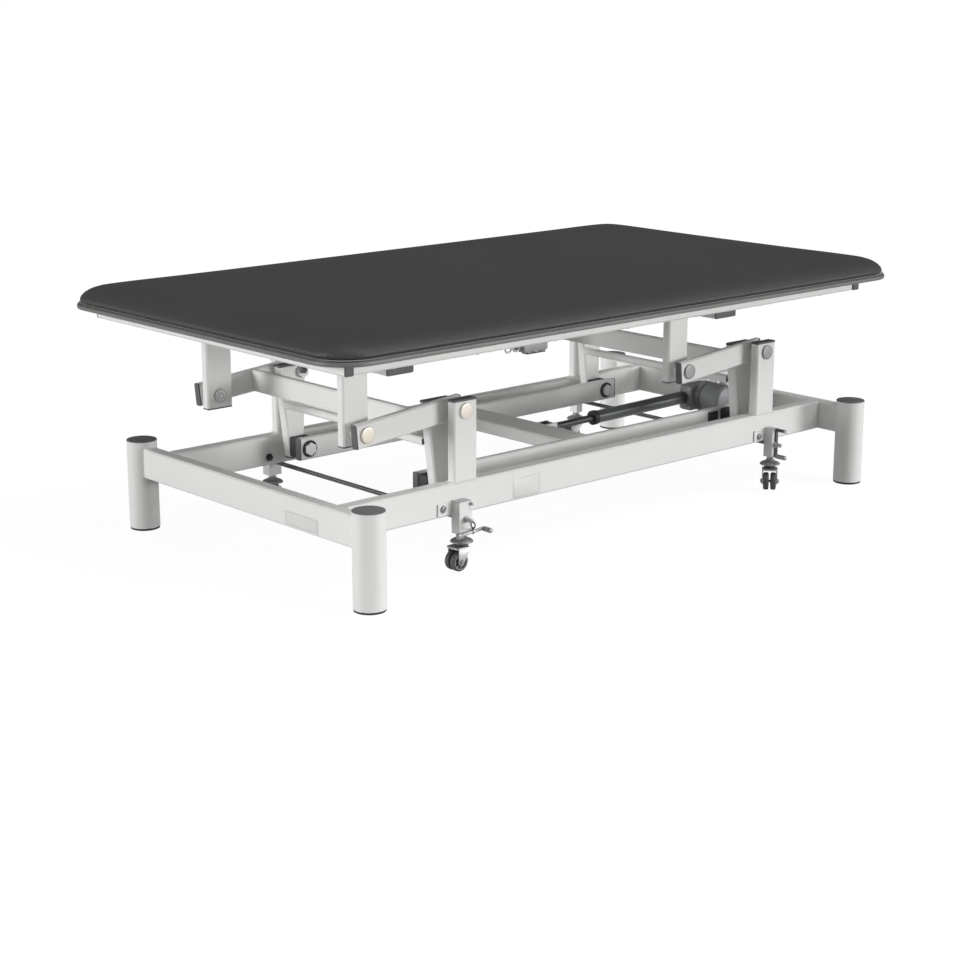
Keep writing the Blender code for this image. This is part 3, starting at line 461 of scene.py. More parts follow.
# beads along a path, as a weld leaves
beadTree, sizes = newTree("weld_beads", {"Bead": "Float", "Step": "Float"})
line = addNode(beadTree, "GeometryNodeMeshToCurve", {}, {0: sizes["Shape"]})
spacing = {0: line.outputs[0], "Length": sizes["Step"]}
spots = addNode(beadTree, "GeometryNodeCurveToPoints", {"mode": "LENGTH"}, spacing).outputs
bead = addNode(beadTree, "GeometryNodeMeshIcoSphere", {"Subdivisions": 2}, {"Radius": sizes["Bead"]})
flat = (1.0, 1.0, 0.55)
closeTree(beadTree, spots["Points"], bead.outputs[0], spots["Rotation"], sizes["Finish"], flat)

# ring of ribs round Z
ribTree, sizes = newTree("ring_of_ribs", {"Count": "Int", "Radius": "Float", "Size": "Vector"})
ring = addNode(ribTree, "GeometryNodeMeshCircle", {}, {"Vertices": sizes["Count"], "Radius": sizes["Radius"]})
spot = addNode(ribTree, "GeometryNodeInputPosition").outputs[0]
facing = addNode(ribTree, "FunctionNodeAlignRotationToVector", {"axis": "X", "pivot_axis": "Z"}, {"Vector": spot})
rib = addNode(ribTree, "GeometryNodeMeshCube", {}, {"Size": sizes["Size"]})
closeTree(ribTree, ring.outputs[0], rib.outputs[0], facing.outputs[0], sizes["Finish"])

# pan heads with a recess on each point of a shape, facing down
screwTree, sizes = newTree("screw_heads", {"Radius": "Float", "Height": "Float", "Turn": "Rotation"})
headSize = {"Radius": sizes["Radius"], "Depth": sizes["Height"]}
head = addNode(screwTree, "GeometryNodeMeshCylinder", {"Vertices": 14}, headSize).outputs
rim = {0: head[0], "Selection": head["Top"]}
recess = addNode(screwTree, "GeometryNodeExtrudeMesh", {"Offset Scale": 0.0004}, rim).outputs
middle = {0: recess[0], "Selection": recess["Top"]}
narrow = addNode(screwTree, "GeometryNodeScaleElements", {"Scale": 0.5}, middle)
middle[0] = narrow.outputs[0]
sunk = addNode(screwTree, "GeometryNodeExtrudeMesh", {"Offset Scale": -0.0012}, middle)
closeTree(screwTree, sizes["Shape"], sunk.outputs[0], sizes["Turn"], sizes["Finish"])

# links of a chain along a path, every second one turned
chainTree, sizes = newTree("chain_links", {"Count": "Int", "Radius": "Float", "Wire": "Float"})
line = addNode(chainTree, "GeometryNodeMeshToCurve", {}, {0: sizes["Shape"]})
spacing = {0: line.outputs[0], "Count": sizes["Count"]}
spots = addNode(chainTree, "GeometryNodeCurveToPoints", {"mode": "COUNT"}, spacing).outputs
hoop = addNode(chainTree, "GeometryNodeCurvePrimitiveCircle", {"Resolution": 16}, {"Radius": sizes["Radius"]})
wire = addNode(chainTree, "GeometryNodeCurvePrimitiveCircle", {"Resolution": 8}, {"Radius": sizes["Wire"]})
link = addNode(chainTree, "GeometryNodeCurveToMesh", {}, {0: hoop.outputs[0], 1: wire.outputs[0]})
standing = {"Rotation": (math.pi / 2, 0, 0), "Scale": (0.75, 0.75, 1.1)}
upright = addNode(chainTree, "GeometryNodeTransform", standing, {0: link.outputs[0]})
order = addNode(chainTree, "GeometryNodeInputIndex").outputs[0]
quarter = addNode(chainTree, "ShaderNodeMath", {"operation": "MULTIPLY", 1: math.pi / 2}, {0: order})
roll = addNode(chainTree, "FunctionNodeAxisAngleToRotation", {"Axis": (0, 0, 1)}, {"Angle": quarter.outputs[0]})
rolling = {0: spots["Rotation"], 1: roll.outputs[0]}
rolled = addNode(chainTree, "FunctionNodeRotateRotation", {"rotation_space": "LOCAL"}, rolling)
closeTree(chainTree, spots["Points"], upright.outputs[0], rolled.outputs[0], sizes["Finish"])
print("node trees made")

# padded top: foam under a stretched cover; offsets from the board's edge inwards and heights above the board, in mm
padCover = {
    "edge": [
        (9, 0.3), (5.5, 2), (4.2, 5), (4.8, 9), (7.6, 15), (13.4, 22), (22.4, 29), (35.4, 35.2), (53, 39.8),
        (75, 42.6), (100, 43.4),
    ],
    "corner": 100, "steps": 14, "voxel": 8.0, "pressure": 4.0, "quality": 4, "frames": 20, "most": 4.0, "evened": 40,
    "held": 2.0, "fill": 0.9,
}
boardLow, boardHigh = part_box("board")


# ring round the board, some mm in from its edge, at a height in metres
def boardRing(kind, inset, z):
    halfX, halfY = boardHigh.x - inset * mm, boardHigh.y - inset * mm
    return softRectangle(halfX, halfY, (kind["corner"] - inset) * mm, z, kind["steps"])


def padShape():
    rings = [boardRing(padCover, inset, boardHigh.z + height * mm) for inset, height in padCover["edge"]]
    holder = show("pad_shape", toMesh("pad_shape", skin(rings)))
    grid = holder.modifiers.new("even_grid", "REMESH")
    grid.mode = "VOXEL"
    grid.voxel_size = padCover["voxel"] * mm * 1
    even = evaluated(holder)
    bpy.data.objects.remove(holder)
    return even


def swell(mesh):
    holder = show("pad_swelling", mesh)
    held = holder.vertex_groups.new(name="held")
    limit = boardHigh.z + padCover["held"] * mm
    held.add([spot.index for spot in mesh.vertices if spot.co.z < limit], 1.0, "REPLACE")
    cloth = holder.modifiers.new("cover", "CLOTH")
    cloth.settings.use_pressure = True
    cloth.settings.uniform_pressure_force = padCover["pressure"]
    cloth.settings.effector_weights.gravity = 0.0
    cloth.settings.vertex_group_mass = "held"
    cloth.settings.quality = padCover["quality"]
    cloth.point_cache.frame_start = 1
    cloth.point_cache.frame_end = padCover["frames"]
    for number in range(1, padCover["frames"] + 1):
        scene.frame_set(number)
    blown = evaluated(holder)
    moves = np.array([grown.co - spot.co for spot, grown in zip(mesh.vertices, blown.vertices)])
    lengths = np.linalg.norm(moves, axis=1, keepdims=True) + 1e-9
    most = padCover["most"] * mm
    moves *= most * np.tanh(lengths / most) / lengths
    tips = np.empty(2 * len(mesh.edges), dtype=np.int32)
    mesh.edges.foreach_get("vertices", tips)
    others = tips.reshape(-1, 2)[:, ::-1].ravel()
    near = 1 + np.bincount(tips)
    for _ in range(padCover["evened"]):  # the cover is drawn taut, so no pucker is left
        moves = np.stack([(way + np.bincount(tips, weights=way[others])) / near for way in moves.T], axis=1)
    for spot, move in zip(mesh.vertices, moves):
        spot.co += Vector(move)
    bpy.data.meshes.remove(blown)
    holder.modifiers.remove(cloth)
    bpy.data.objects.remove(holder)
    scene.frame_set(1)


padMesh = padShape()
swell(padMesh)
padMesh.materials.clear()
padMesh.materials.append(charcoalVinyl)
pad = addPiece("pad_cover", padMesh, [], "top", 60)
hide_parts("pad")
print("pad:", len(padMesh.polygons), "faces")

# board with its edging strip
board = {
    "band": [
        (3, 0), (1, 0.4), (0.2, 1.4), (0, 3), (0, 8), (0.4, 9.2), (1.4, 10), (4.2, 10.4), (4.4, 10.8), (4.4, 13.8),
        (4.6, 14), (5.2, 14), (5.2, 0),
    ],
    "corner": 100, "steps": 16, "panel": 5.3, "panelLow": 0.3, "strip": 10.3,
}
edging = skin([boardRing(board, inset, boardLow.z + height * mm) for inset, height in board["band"]], True)
for face in edging.faces:  # the cover's lap shows above the strip, painted in the dark vinyl: partly the lap, partly painted shade of the seam under the pad
    face.material_index = int(face.calc_center_median().z > boardLow.z + board["strip"] * mm)
addPiece("board_edging", edging, [edgeGrey, charcoalVinyl], "top", 50)
panel = skin([boardRing(board, board["panel"], z) for z in (boardLow.z + board["panelLow"] * mm, boardHigh.z)])
panelPiece = addPiece("board_panel", panel, [melamine], "top", 40)
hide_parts("board")
print("board and edging made")

# legs, their caps and feet
leg = {"radius": 40.0, "wall": 2.5, "closed": 12, "sides": 72, "capLow": 2.6, "dome": 2.6, "foot": 39.0}
for row, end in corners:
    low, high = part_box(f"leg_{row}_{end}")
    middle = (low + high) / 2
    place = (middle.x, middle.y, 0)
    bottom, top = low.z / mm, high.z / mm
    r, bore, seat = leg["radius"], leg["radius"] - leg["wall"], top - leg["capLow"]
    profile = [(0, top - leg["closed"]), (bore, top - leg["closed"]), (bore, bottom), (r, bottom), (r, seat), (0, seat)]
    tube = stand(turned(profile, leg["sides"]), place)
    piece = addPiece(f"leg_tube_{row}_{end}", tube, [powderCoat], "base")
    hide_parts(f"leg_{row}_{end}")
    start = seat + 0.05
    dome = start + 2.8
    profile = [
        (0, start), (r - 0.8, start), (r - 0.1, start + 0.5), (r - 0.1, start + 1.4), (r - 0.6, start + 2.1),
        (r - 2.2, start + 2.6), (r - 3.2, start + 2.4), (r - 4.6, dome), (r * 0.55, dome + leg["dome"] * 0.7),
        (0, dome + leg["dome"]),
    ]
    cap = stand(turned(profile, leg["sides"]), place)
    addPiece(f"leg_cap_{row}_{end}", cap, [capGrey], "base", 40)
    f, seat = leg["foot"], bottom - 0.2
    profile = [(0, 0), (f - 2, 0), (f - 0.5, 0.6), (f, 2), (f, seat - 1), (f - 0.8, seat), (0, seat)]
    sole = stand(turned(profile, leg["sides"]), place)
    piece = addPiece(f"foot_pad_{row}_{end}", sole, [footRubber], "base")
    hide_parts(f"foot_{row}_{end}")
print("legs made")

# plugs in the tube ends, gathered by body: width, height and depth, then places from the pivots; slope in degrees
plug = {
    "soft": 1.6, "corner": 4.0, "post": (76, 27, 5.0), "hanger": (77, 26, 4.0), "link": (60, 20, 4.0),
    "leverTop": (86, 30, 6.0), "leverFoot": (45, 30, 4.0), "top_rail": (25, 25, 4.0), "cross_tube": (80, 60, 4.0),
    "tie_bar": (60, 20, 4.0), "postY": 362.5, "hangerY": 281.0, "linkY": 325.0, "linkOut": 306.2, "linkIn": 18.5,
    "leverY": 300.3, "leverTopX": -29.0, "leverTopZ": 17.0, "leverFootX": -19.5, "leverFootZ": -231.2, "slope": 5.1,
}
slope = math.radians(plug["slope"])
along = Vector((-math.cos(slope), 0, -math.sin(slope)))  # down the left links, from the arm pivot
upward = Vector((along.z, 0, -along.x))
plugs = {"base": [], "left_arm": [], "right_arm": [], "top": [], "tie_frame": []}


def addPlug(body, kind, *where):
    width, height, depth = plug[kind]
    soft = plug["soft"]
    steps = [(0.4, 0.05), (0, 0.5), (0, depth - soft), (soft * 0.3, depth - soft * 0.3), (soft, depth)]
    rings = []
    for inset, z in steps + [(soft + 3, depth + 0.35)]:
        radius = max(plug["corner"] - inset, 0.8) * mm
        rings.append(softRectangle((width / 2 - inset) * mm, (height / 2 - inset) * mm, radius, z * mm))
    plugs[body].append(stand(skin(rings), *where))


for row, end in corners:
    sign = rows[row]
    arm, hangerAt = pivot["lift"] + armShift[end], pivot["top_level"] + armShift[end]
    addPlug("base", "post", (arm.x, sign * plug["postY"] * mm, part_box(f"post_{row}_{end}")[1].z))
    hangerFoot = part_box(f"hanger_{row}_{end}")[0].z
    addPlug("top", "hanger", (hangerAt.x, sign * plug["hangerY"] * mm, hangerFoot), (0, 0, -1))
    body, linkAt = f"{end}_arm", arm + Vector((0, sign * plug["linkY"] * mm, 0))
    addPlug(body, "link", linkAt + along * plug["linkOut"] * mm, along, upward)
    addPlug(body, "link", linkAt - along * plug["linkIn"] * mm, -along, upward)
    for kind, way in (("leverTop", 1), ("leverFoot", -1)):
        offset = Vector((plug[kind + "X"], sign * plug["leverY"], plug[kind + "Z"]))
        addPlug(body, kind, arm + offset * mm, (0, 0, way))
    for kind in ("top_rail", "cross_tube"):
        low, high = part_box(f"{kind}_{end}")
        middle = (low + high) / 2
        addPlug("top", kind, (middle.x, low.y if sign < 0 else high.y, middle.z), (0, sign, 0))
    low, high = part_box(f"tie_bar_{row}")
    middle = (low + high) / 2
    place = (low.x if end == "left" else high.x, middle.y, middle.z)
    addPlug("tie_frame", "tie_bar", place, (ends[end], 0, 0), (0, 0, 1))
for body, shapes in plugs.items():
    addPiece(f"end_plugs_{body}", gather(shapes), [plugPlastic], body, 40)
print("end plugs made")

# bolt caps outside, washers with socket bolts on the hangers, and black dishes round the tie bar nuts: painted shade
# standing in for the round holes the nuts sit in
boltCap = {"radius": 20.2, "height": 5.2}
washer = {"radius": 18.6, "height": 3.6, "head": 9.5, "headHeight": 6.5, "socket": 4.6}
holeShade = {"radius": 23.0, "height": 1.2, "wall": 2.4, "bolt": 7.5}
facePost, faceLink, faceHanger, faceTie = 376.0, 335.3, 268.0, 231.7  # outer and inner faces from the middle line


def capShape():
    r, h = boltCap["radius"], boltCap["height"]
    profile = [(0, -0.2), (r, -0.2), (r, h - 1.4), (r - 0.4, h - 0.5), (r - 1.4, h), (r - 4, h + 0.15), (0, h + 0.4)]
    return turned(profile, 56)


def washerShape():
    r, h, b, t, s = (washer[key] for key in ("radius", "height", "head", "headHeight", "socket"))
    profile = [(0, 0), (r, 0), (r, h - 0.7), (r - 0.7, h), (b, h), (b, t - 1), (b - 1, t), (s, t)]
    return turned(profile + [(s, h + 0.6), (0, h + 0.6)], 40)


# black dish painted as the shade inside a round hole in the tie bar, with the nut standing in it
def holeShadeShape():
    r, h, w, b = (holeShade[key] for key in ("radius", "height", "wall", "bolt"))
    profile = [(0, 0.2), (r, 0.2), (r, h + 2), (r - 0.8, h + 2.8), (r - w + 0.6, h + 2.8), (r - w, h + 2)]
    hollow = turned(profile + [(r - w - 2, h), (0, h)], 48)
    nut = turned([(0, h - 0.2), (b * 1.12, h - 0.2), (b * 1.12, h + 3.2), (b * 0.95, h + 4), (0, h + 4)], 6)
    return gather([paint(hollow, 0), paint(nut, 1)])


for end, shift in armShift.items():
    look = creamCap if end == "left" else greyCap
    postCaps, hangerCaps, washers, holeShades = [], [], [], []
    arm, hangerAt, tieAt = (pivot[joint] + shift for joint in ("lift", "top_level", "tie_frame_level"))
    for sign in rows.values():
        postCaps.append(stand(capShape(), (arm.x, sign * facePost * mm, arm.z), (0, sign, 0)))
        hangerCaps.append(stand(capShape(), (hangerAt.x, sign * faceLink * mm, hangerAt.z), (0, sign, 0)))
        washers.append(stand(washerShape(), (hangerAt.x, sign * faceHanger * mm, hangerAt.z), (0, -sign, 0)))
        holeShades.append(stand(holeShadeShape(), (tieAt.x, sign * faceTie * mm, tieAt.z), (0, -sign, 0)))
    addPiece(f"post_bolt_caps_{end}", gather(postCaps), [look], "base", 40)
    addPiece(f"hanger_bolt_caps_{end}", gather(hangerCaps), [look], "top", 40)
    addPiece(f"hanger_washers_{end}", gather(washers), [zincPlate], "top", 30)
    addPiece(f"tie_bolt_hole_shades_{end}", gather(holeShades), [blackNylonAndShade, capGrey], f"{end}_arm", 30)

# black spacer blocks between the levers and the tie bars, each round the boss that carries the bar; sizes in mm
spacer = {"half": 27.0, "corner": 5.0, "soft": 0.8, "hole": 20.4, "start": 252.8, "stop": 284.4}
blocks = {"left_arm": [], "right_arm": []}
for row, end in corners:
    low, high, soft = spacer["start"], spacer["stop"], spacer["soft"]
    rings = []
    for inset, z in ((soft, low), (0, low + soft), (0, high - soft), (soft, high)):
        half = (spacer["half"] - inset) * mm
        rings.append(softRectangle(half, half, (spacer["corner"] - inset) * mm, z * mm))
    angles = [math.atan2(point.y, point.x) for point in rings[0]]
    hole = spacer["hole"] * mm
    for z in (high, low):
        rings.append([Vector((hole * math.cos(a), hole * math.sin(a), z * mm)) for a in angles])
    tieAt = pivot["tie_frame_level"] + armShift[end]
    blocks[f"{end}_arm"].append(stand(skin(rings, True), (tieAt.x, 0, tieAt.z), (0, rows[row], 0)))
for body, shapes in blocks.items():
    addPiece(f"spacer_blocks_{body}", gather(shapes), [blackNylonAndShade], body, 40)
print("bolts made")


# ring of ribs round Z, its middle at a height; sizes in mm
def ribRing(count, radius, size, height, look):
    values = {"Count": count, "Radius": radius * mm, "Size": tuple(part * mm for part in size), "Finish": look}
    shape = toShape(grow(ribTree, bpy.data.meshes.new("none"), values))
    bmesh.ops.translate(shape, vec=(0, 0, height * mm), verts=shape.verts)
    return shape


# castors: fork, twin wheels and cast dish; sizes in mm, heights from the floor, x along the fork
swivel = {"front_left": 0, "front_right": 42, "back_left": 25, "back_right": -15}
fork = {
    "top": 69.5, "thick": 4.0, "trail": 18.0, "nose": 17.5, "back": -34.0, "half": 22.0, "corner": 8.0,
    "armIn": 18.4, "armThick": 2.8, "armBack": 9.0, "armFront": 29.0, "eye": 9.5, "pin": 3.9,
}
wheel = {
    "radius": 25.0, "axle": 33.0, "rim": 19.8, "inner": 2.1, "sides": 64,
    "ribs": 8, "ribAt": 12.6, "ribSize": (9.4, 1.8, 3.4), "ribHeight": 11.2,
}
dish = {"radius": 29.0, "low": 79.8, "neck": 9.2, "neckTop": 125.0}


# point on the wheels' axle, so far from the middle of the fork
def onAxle(y):
    return Vector((-fork["trail"], y, wheel["axle"])) * mm


def forkShape():
    half, back, corner, thick = fork["half"], fork["back"], fork["corner"], fork["thick"]
    outline = arcPoints((0, 0), fork["nose"], -60, 60, 14) + [(1, half - 0.4), (-6, half)]
    outline += arcPoints((back + corner, half - corner), corner, 90, 180, 6)
    outline += arcPoints((back + corner, corner - half), corner, 180, 270, 6)
    outline += [(-6, -half), (1, 0.4 - half)]
    shapes = []
    add(shapes, 0, slab(outline, thick, 1.0), (0, 0, (fork["top"] - thick) * mm))
    front, drop = fork["armFront"], fork["top"] - thick / 2 - wheel["axle"]
    cheek = arcPoints((0, 0), fork["eye"], 190, 345, 14)
    cheek += [(front - 1.5, drop - 5), (front, drop), (-fork["armBack"], drop)]
    face = fork["armIn"] + fork["armThick"]
    bolt = [(0, 0), (7.4, 0), (7.4, 1.1), (7, 1.4), (6, 1.4), (6, 4.2), (5.2, 4.9), (2.4, 4.9), (2.4, 4.2), (0, 4.2)]
    for sign in (-1, 1):
        outer = sign * fork["armIn"] + max(sign, 0) * fork["armThick"]
        add(shapes, 0, slab(cheek, fork["armThick"], 0.7), onAxle(outer), (0, -1, 0))
        add(shapes, 1, turned(bolt, 6 if sign < 0 else 30), onAxle(sign * face), (0, sign, 0))
    pin, length = fork["pin"], 2 * face - 0.4
    add(shapes, 1, turned([(0, 0), (pin, 0), (pin, length), (0, length)], 20), onAxle(0.2 - face), (0, 1, 0))
    return gather(shapes)


def wheelShape():
    r, rim = wheel["radius"], wheel["rim"]
    tread = [
        (rim - 2.5, 1.2), (rim, 0.5), (22.6, 0.8), (24.1, 2.2), (24.8, 4.2), (r, 6.5), (r, 9.5), (24.8, 11.8),
        (24, 13.9), (22.4, 15.2), (rim + 0.2, 15.6), (rim - 2.5, 14.8),
    ]
    hub = [
        (4.4, 0.4), (rim - 2.4, 0.4), (rim - 0.2, 1.8), (rim - 0.2, 14.9), (rim - 0.5, 15.8), (rim - 1.8, 15.8),
        (rim - 2.3, 15), (rim - 3, 10.4), (8.6, 9.4), (8, 10.2), (7.4, 14.8), (6.8, 15.5), (4.4, 15.5),
    ]
    shapes = []
    for sign in (-1, 1):
        ribs = ribRing(wheel["ribs"], wheel["ribAt"], wheel["ribSize"], wheel["ribHeight"], capGrey)
        turns = [paint(turned(profile, wheel["sides"], True), index) for index, profile in enumerate((tread, hub))]
        shapes.append(stand(gather(turns + [paint(ribs, 2)]), onAxle(sign * wheel["inner"]), (0, sign, 0)))
    whole = gather(shapes)
    for face in whole.faces:  # the sunk web is darker than the rim
        centre = face.calc_center_median() - onAxle(0)
        if face.material_index == 1 and math.hypot(centre.x, centre.z) < (rim - 2.4) * mm:
            face.material_index = 2
    return whole


def plungerShape():
    low, neck, top = dish["low"], dish["neck"], dish["neckTop"]
    bell = [
        (0, low + 1.2), (20, low + 1.2), (25.5, low - 0.2), (28.2, low - 1.2), (dish["radius"], low - 0.6),
        (28.6, low + 1.4), (25.6, low + 4.2), (20, low + 6.8), (15, low + 8.2), (13, low + 9.6), (12.2, low + 11.6),
        (10.4, low + 13.2), (9.6, low + 16), (neck, low + 20), (neck, top), (0, top),
    ]
    ball = [
        (0, 69.9), (14.6, 69.9), (16, 70.8), (16, 73.4), (14.4, 74), (14.4, 75.4), (16.4, 76), (16.4, 79), (15, 80),
        (0, 81.2),
    ]
    foot = [(0, 60.3), (10.8, 60.3), (12, 61.2), (12, 64.6), (7.8, 65.1), (7.8, 70), (0, 70)]
    return gather([paint(turned(bell, 56), 0), paint(turned(ball, 44), 1), paint(turned(foot, 28), 2)])


for name, turn in swivel.items():
    spot = pivot[f"castor_swivel_{name}"]
    place = (spot.x, spot.y, 0)
    facing = (math.cos(math.radians(turn)), math.sin(math.radians(turn)), 0)
    shape = stand(forkShape(), place, sideways=facing)
    made = addPiece(f"swivel_fork_{name}", shape, [zincPlate, castAlloy], f"castor_fork_{name}", 34)
    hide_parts(f"castor_fork_{name}")
    shape, looks = stand(wheelShape(), place, sideways=facing), [treadRubber, hubNylon, capGrey]
    made = addPiece(f"twin_wheels_{name}", shape, looks, f"castor_wheels_{name}", 34)
    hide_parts(f"castor_wheels_{name}")
    shape, looks = stand(plungerShape(), place), [castAlloy, plugPlastic, zincPlate]
    made = addPiece(f"castor_dish_{name}", shape, looks, f"castor_plunger_{name}", 40)
    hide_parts(f"castor_plunger_{name}")
print("castors made")

# castor housings: lid, slotted screw in the ear with its nut behind the rail, and a small knob on the front left one
housing = {
    "left": 40.0, "right": 24.0, "deep": 30.0, "lid": 2.0, "railIn": 335.1, "earFace": 380.25, "screw": 7.4,
    "nut": 9.0, "earX": {"left": 50.0, "right": 38.5}, "earZ": {"left": 167.0, "right": 161.5}, "knobX": 16, "knobZ": 7,
}


def slottedHead(radius, height, slot):
    edge = radius + 2.4
    shapes = [paint(turned([(0, 0), (edge, 0), (edge, 1), (radius + 2, 1.3), (0, 1.3)], 36), 0)]
    core, half = radius - 0.6, height * 0.5
    # the core between the two halves takes the second finish, black nylon on the housings: painted shade at the bottom
    # of the slot
    shapes.append(paint(turned([(0, 1.2), (core, 1.2), (core, half), (0, half)], 32), 1))
    gap = math.degrees(math.asin(slot / 2 / radius))
    for turn in (0, 180):
        side = slab(arcPoints((0, 0), radius, gap + turn, 180 - gap + turn, 16), height * 0.6, 0.5)
        add(shapes, 0, side, (0, 0, height * 0.4 * mm))
    return gather(shapes)


fittings = []
lids = []
for row, end in corners:
    spot = pivot[f"castor_swivel_{row}_{end}"]
    sign = rows[row]
    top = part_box(f"castor_housing_{row}_{end}")[1].z
    lid = softBlock(housing[end] + 0.8, housing["deep"] + 0.2, housing["lid"], 1.2, 0.6)
    lids.append(stand(lid, (spot.x, spot.y + sign * 0.2 * mm, top - 0.4 * mm)))
    x, z = spot.x - housing["earX"][end] * mm, housing["earZ"][end] * mm
    place = (x, sign * housing["earFace"] * mm, z)
    fittings.append(stand(slottedHead(housing["screw"], 4.0, 2.6), place, (0, sign, 0), (0.75, 0, 0.66)))
    n = housing["nut"]
    profile = [(0, 0), (11, 0), (11, 1.3), (n, 1.4), (n, 6.8), (8, 7.6), (4.4, 7.6), (4.4, 9.4), (3.6, 10), (0, 10)]
    add(fittings, 1, turned(profile, 6), (x, sign * housing["railIn"] * mm, z), (0, -sign, 0))
    if (row, end) == ("front", "left"):
        knob = turned([(0, -0.2), (3.4, -0.2), (3.4, 3), (4.2, 3.6), (4.2, 6.2), (3.2, 7.2), (0, 7.6)], 28)
        place = (spot.x + housing["knobX"] * mm, spot.y - housing["deep"] / 2 * mm, top - housing["knobZ"] * mm)
        add(fittings, 0, knob, place, (0, -1, 0))
addPiece("castor_lids", gather(lids), [zincPlate], "base", 40)
addPiece("castor_screws", gather(fittings), [castAlloy, blackNylonAndShade], "base", 34)
print("castor housings dressed")

# pedal shafts: dark bar between the castors, round ends, and the pedal on the front end; sizes in mm, slope in degrees
shaft = {
    "across": 6.1, "barEnd": 374, "round": 5.4, "reach": 412.0, "stub": 431.0, "front": 406.6, "pedalY": -413.4,
    "rod": 4.3, "grip": 6.4, "gripLength": 33.0, "reachLeft": 50.0, "tail": 24, "drop": 34.0, "slope": 4.0,
    "hoop": 7.4, "wire": 1.7, "hoopY": -433.5, "hoopDrop": 8.6, "hang": 17, "links": 4, "link": 3.6, "linkWire": 1.1,
    "block": (20, 11, 15, 4.5, 3.0), "blockAt": (-2, 0, -9), "eyelet": 6, "pegX": 4, "pegY": -410.2, "pegZ": 42,
}
tilt = math.tan(math.radians(shaft["slope"]))
forward = (0, -1, 0)


# sleeve with a pale tip, from a point towards the front
def footSleeve(shapes, start, length):
    g = shaft["grip"]
    sleeve = [(4.2, 0), (g - 0.6, 0), (g, 0.8), (g, length - 1.4), (g - 0.5, length - 0.4), (g - 1.6, length)]
    sleeve += [(4.6, length), (4.2, length - 0.6)]
    tip = [(0, 0), (4.6, 0), (4.6, length + 0.4), (3.6, length + 1.2), (0, length + 1.4)]
    add(shapes, 2, turned(sleeve, 36, True), start * mm, forward)
    add(shapes, 1, turned(tip, 28), start * mm, forward)


# bent lever with a ring and a short chain
def leftPedal(shapes, x, height):
    y, low = shaft["pedalY"], height - shaft["drop"]
    stations = (-shaft["tail"], shaft["hang"], shaft["reachLeft"])
    tail, hang, bend = (Vector((x + at, y, low + at * tilt)) for at in stations)
    add(shapes, 2, softBlock(*shaft["block"]), (tail + Vector(shaft["blockAt"])) * mm)
    wire, angles = shaft["wire"], [math.pi * step / 5 for step in range(10)]
    hoop = turned([(shaft["hoop"] + wire * math.cos(a), wire * math.sin(a)) for a in angles], 36, True)
    hoopAt = Vector((x, shaft["hoopY"], height - shaft["hoopDrop"]))
    add(shapes, 3, hoop, hoopAt * mm, (1, 0, 0))
    line = pathMesh([[hoopAt - Vector((0, 0, shaft["hoopDrop"])), hang + Vector((0, 0, shaft["eyelet"]))]])
    links = {"Count": shaft["links"], "Radius": shaft["link"] * mm, "Wire": shaft["linkWire"] * mm, "Finish": blackBar}
    shapes.append(paint(toShape(grow(chainTree, line, links)), 0))
    add(shapes, 1, turned([(4.1, -2), (6.2, -2), (6.2, 2), (4.1, 2)], 28, True), hang * mm, (1, 0, tilt))
    turns = ((9, 0, 0.6), (1.6, 1.6, 0), (0, 10, 0), (0, shaft["gripLength"] - 3, 0))
    path = eased([tail, (tail + bend) / 2] + [bend - Vector(back) for back in turns])
    shapes.append(paint(rod(path, shaft["rod"]), 1))
    footSleeve(shapes, bend - Vector((0, 4, 0)), shaft["gripLength"] - 5.6)


# rocker with a sleeve below and a peg above
def rightPedal(shapes, x, height):
    outline = arcPoints((shaft["pegX"], shaft["pegZ"]), 4.5, 0, 180, 12)
    outline += arcPoints((shaft["pegX"], -shaft["drop"]), 5.5, 180, 360, 12)
    add(shapes, 0, slab(outline, 4.0, 0.7), Vector((x, -shaft["front"], height)) * mm, forward)
    footSleeve(shapes, Vector((x + 3, shaft["pegY"], height - shaft["drop"])), shaft["gripLength"] + 1.6)
    peg = turned([(0, 0), (4.8, 0), (4.8, 27), (4.2, 27.6), (0, 27.6)], 28)
    knob = turned([(0, 27), (5.2, 27), (5.6, 28), (5.6, 31), (4.6, 32.4), (0, 33)], 28)
    for index, shape in enumerate((peg, knob)):
        place = Vector((x + shaft["pegX"], shaft["pegY"], height + shaft["pegZ"])) * mm
        add(shapes, index, shape, place, forward)


for end, pedal in (("left", leftPedal), ("right", rightPedal)):
    axis = pivot[f"{end}_pedal_press"]
    half, stub, reach, r = shaft["barEnd"], shaft["stub"], shaft["reach"], shaft["round"]
    shapes = []
    bar = [(0, -half), (shaft["across"], -half), (shaft["across"], half), (0, half)]
    add(shapes, 0, turned(bar, 6), axis, (0, 1, 0))
    core = [(0, -stub), (4, -stub), (r, 1.2 - stub), (r, reach - 1), (4.4, reach), (0, reach)]
    add(shapes, 1, turned(core, 28), axis, (0, 1, 0))
    collar = turned([(5.2, 0), (8.4, 0), (8.4, 3.4), (7.8, 4), (5.2, 4)], 36, True)
    add(shapes, 1, collar, (axis.x, -shaft["front"] * mm, axis.z), forward)
    pedal(shapes, axis.x / mm, axis.z / mm)
    looks = [blackBar, zincPlate, castAlloy, blackNylonAndShade]
    made = addPiece(f"pedal_shaft_{end}", gather(shapes), looks, f"{end}_pedal", 36)
    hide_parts(f"castor_shaft_{end}")
print("pedals made")

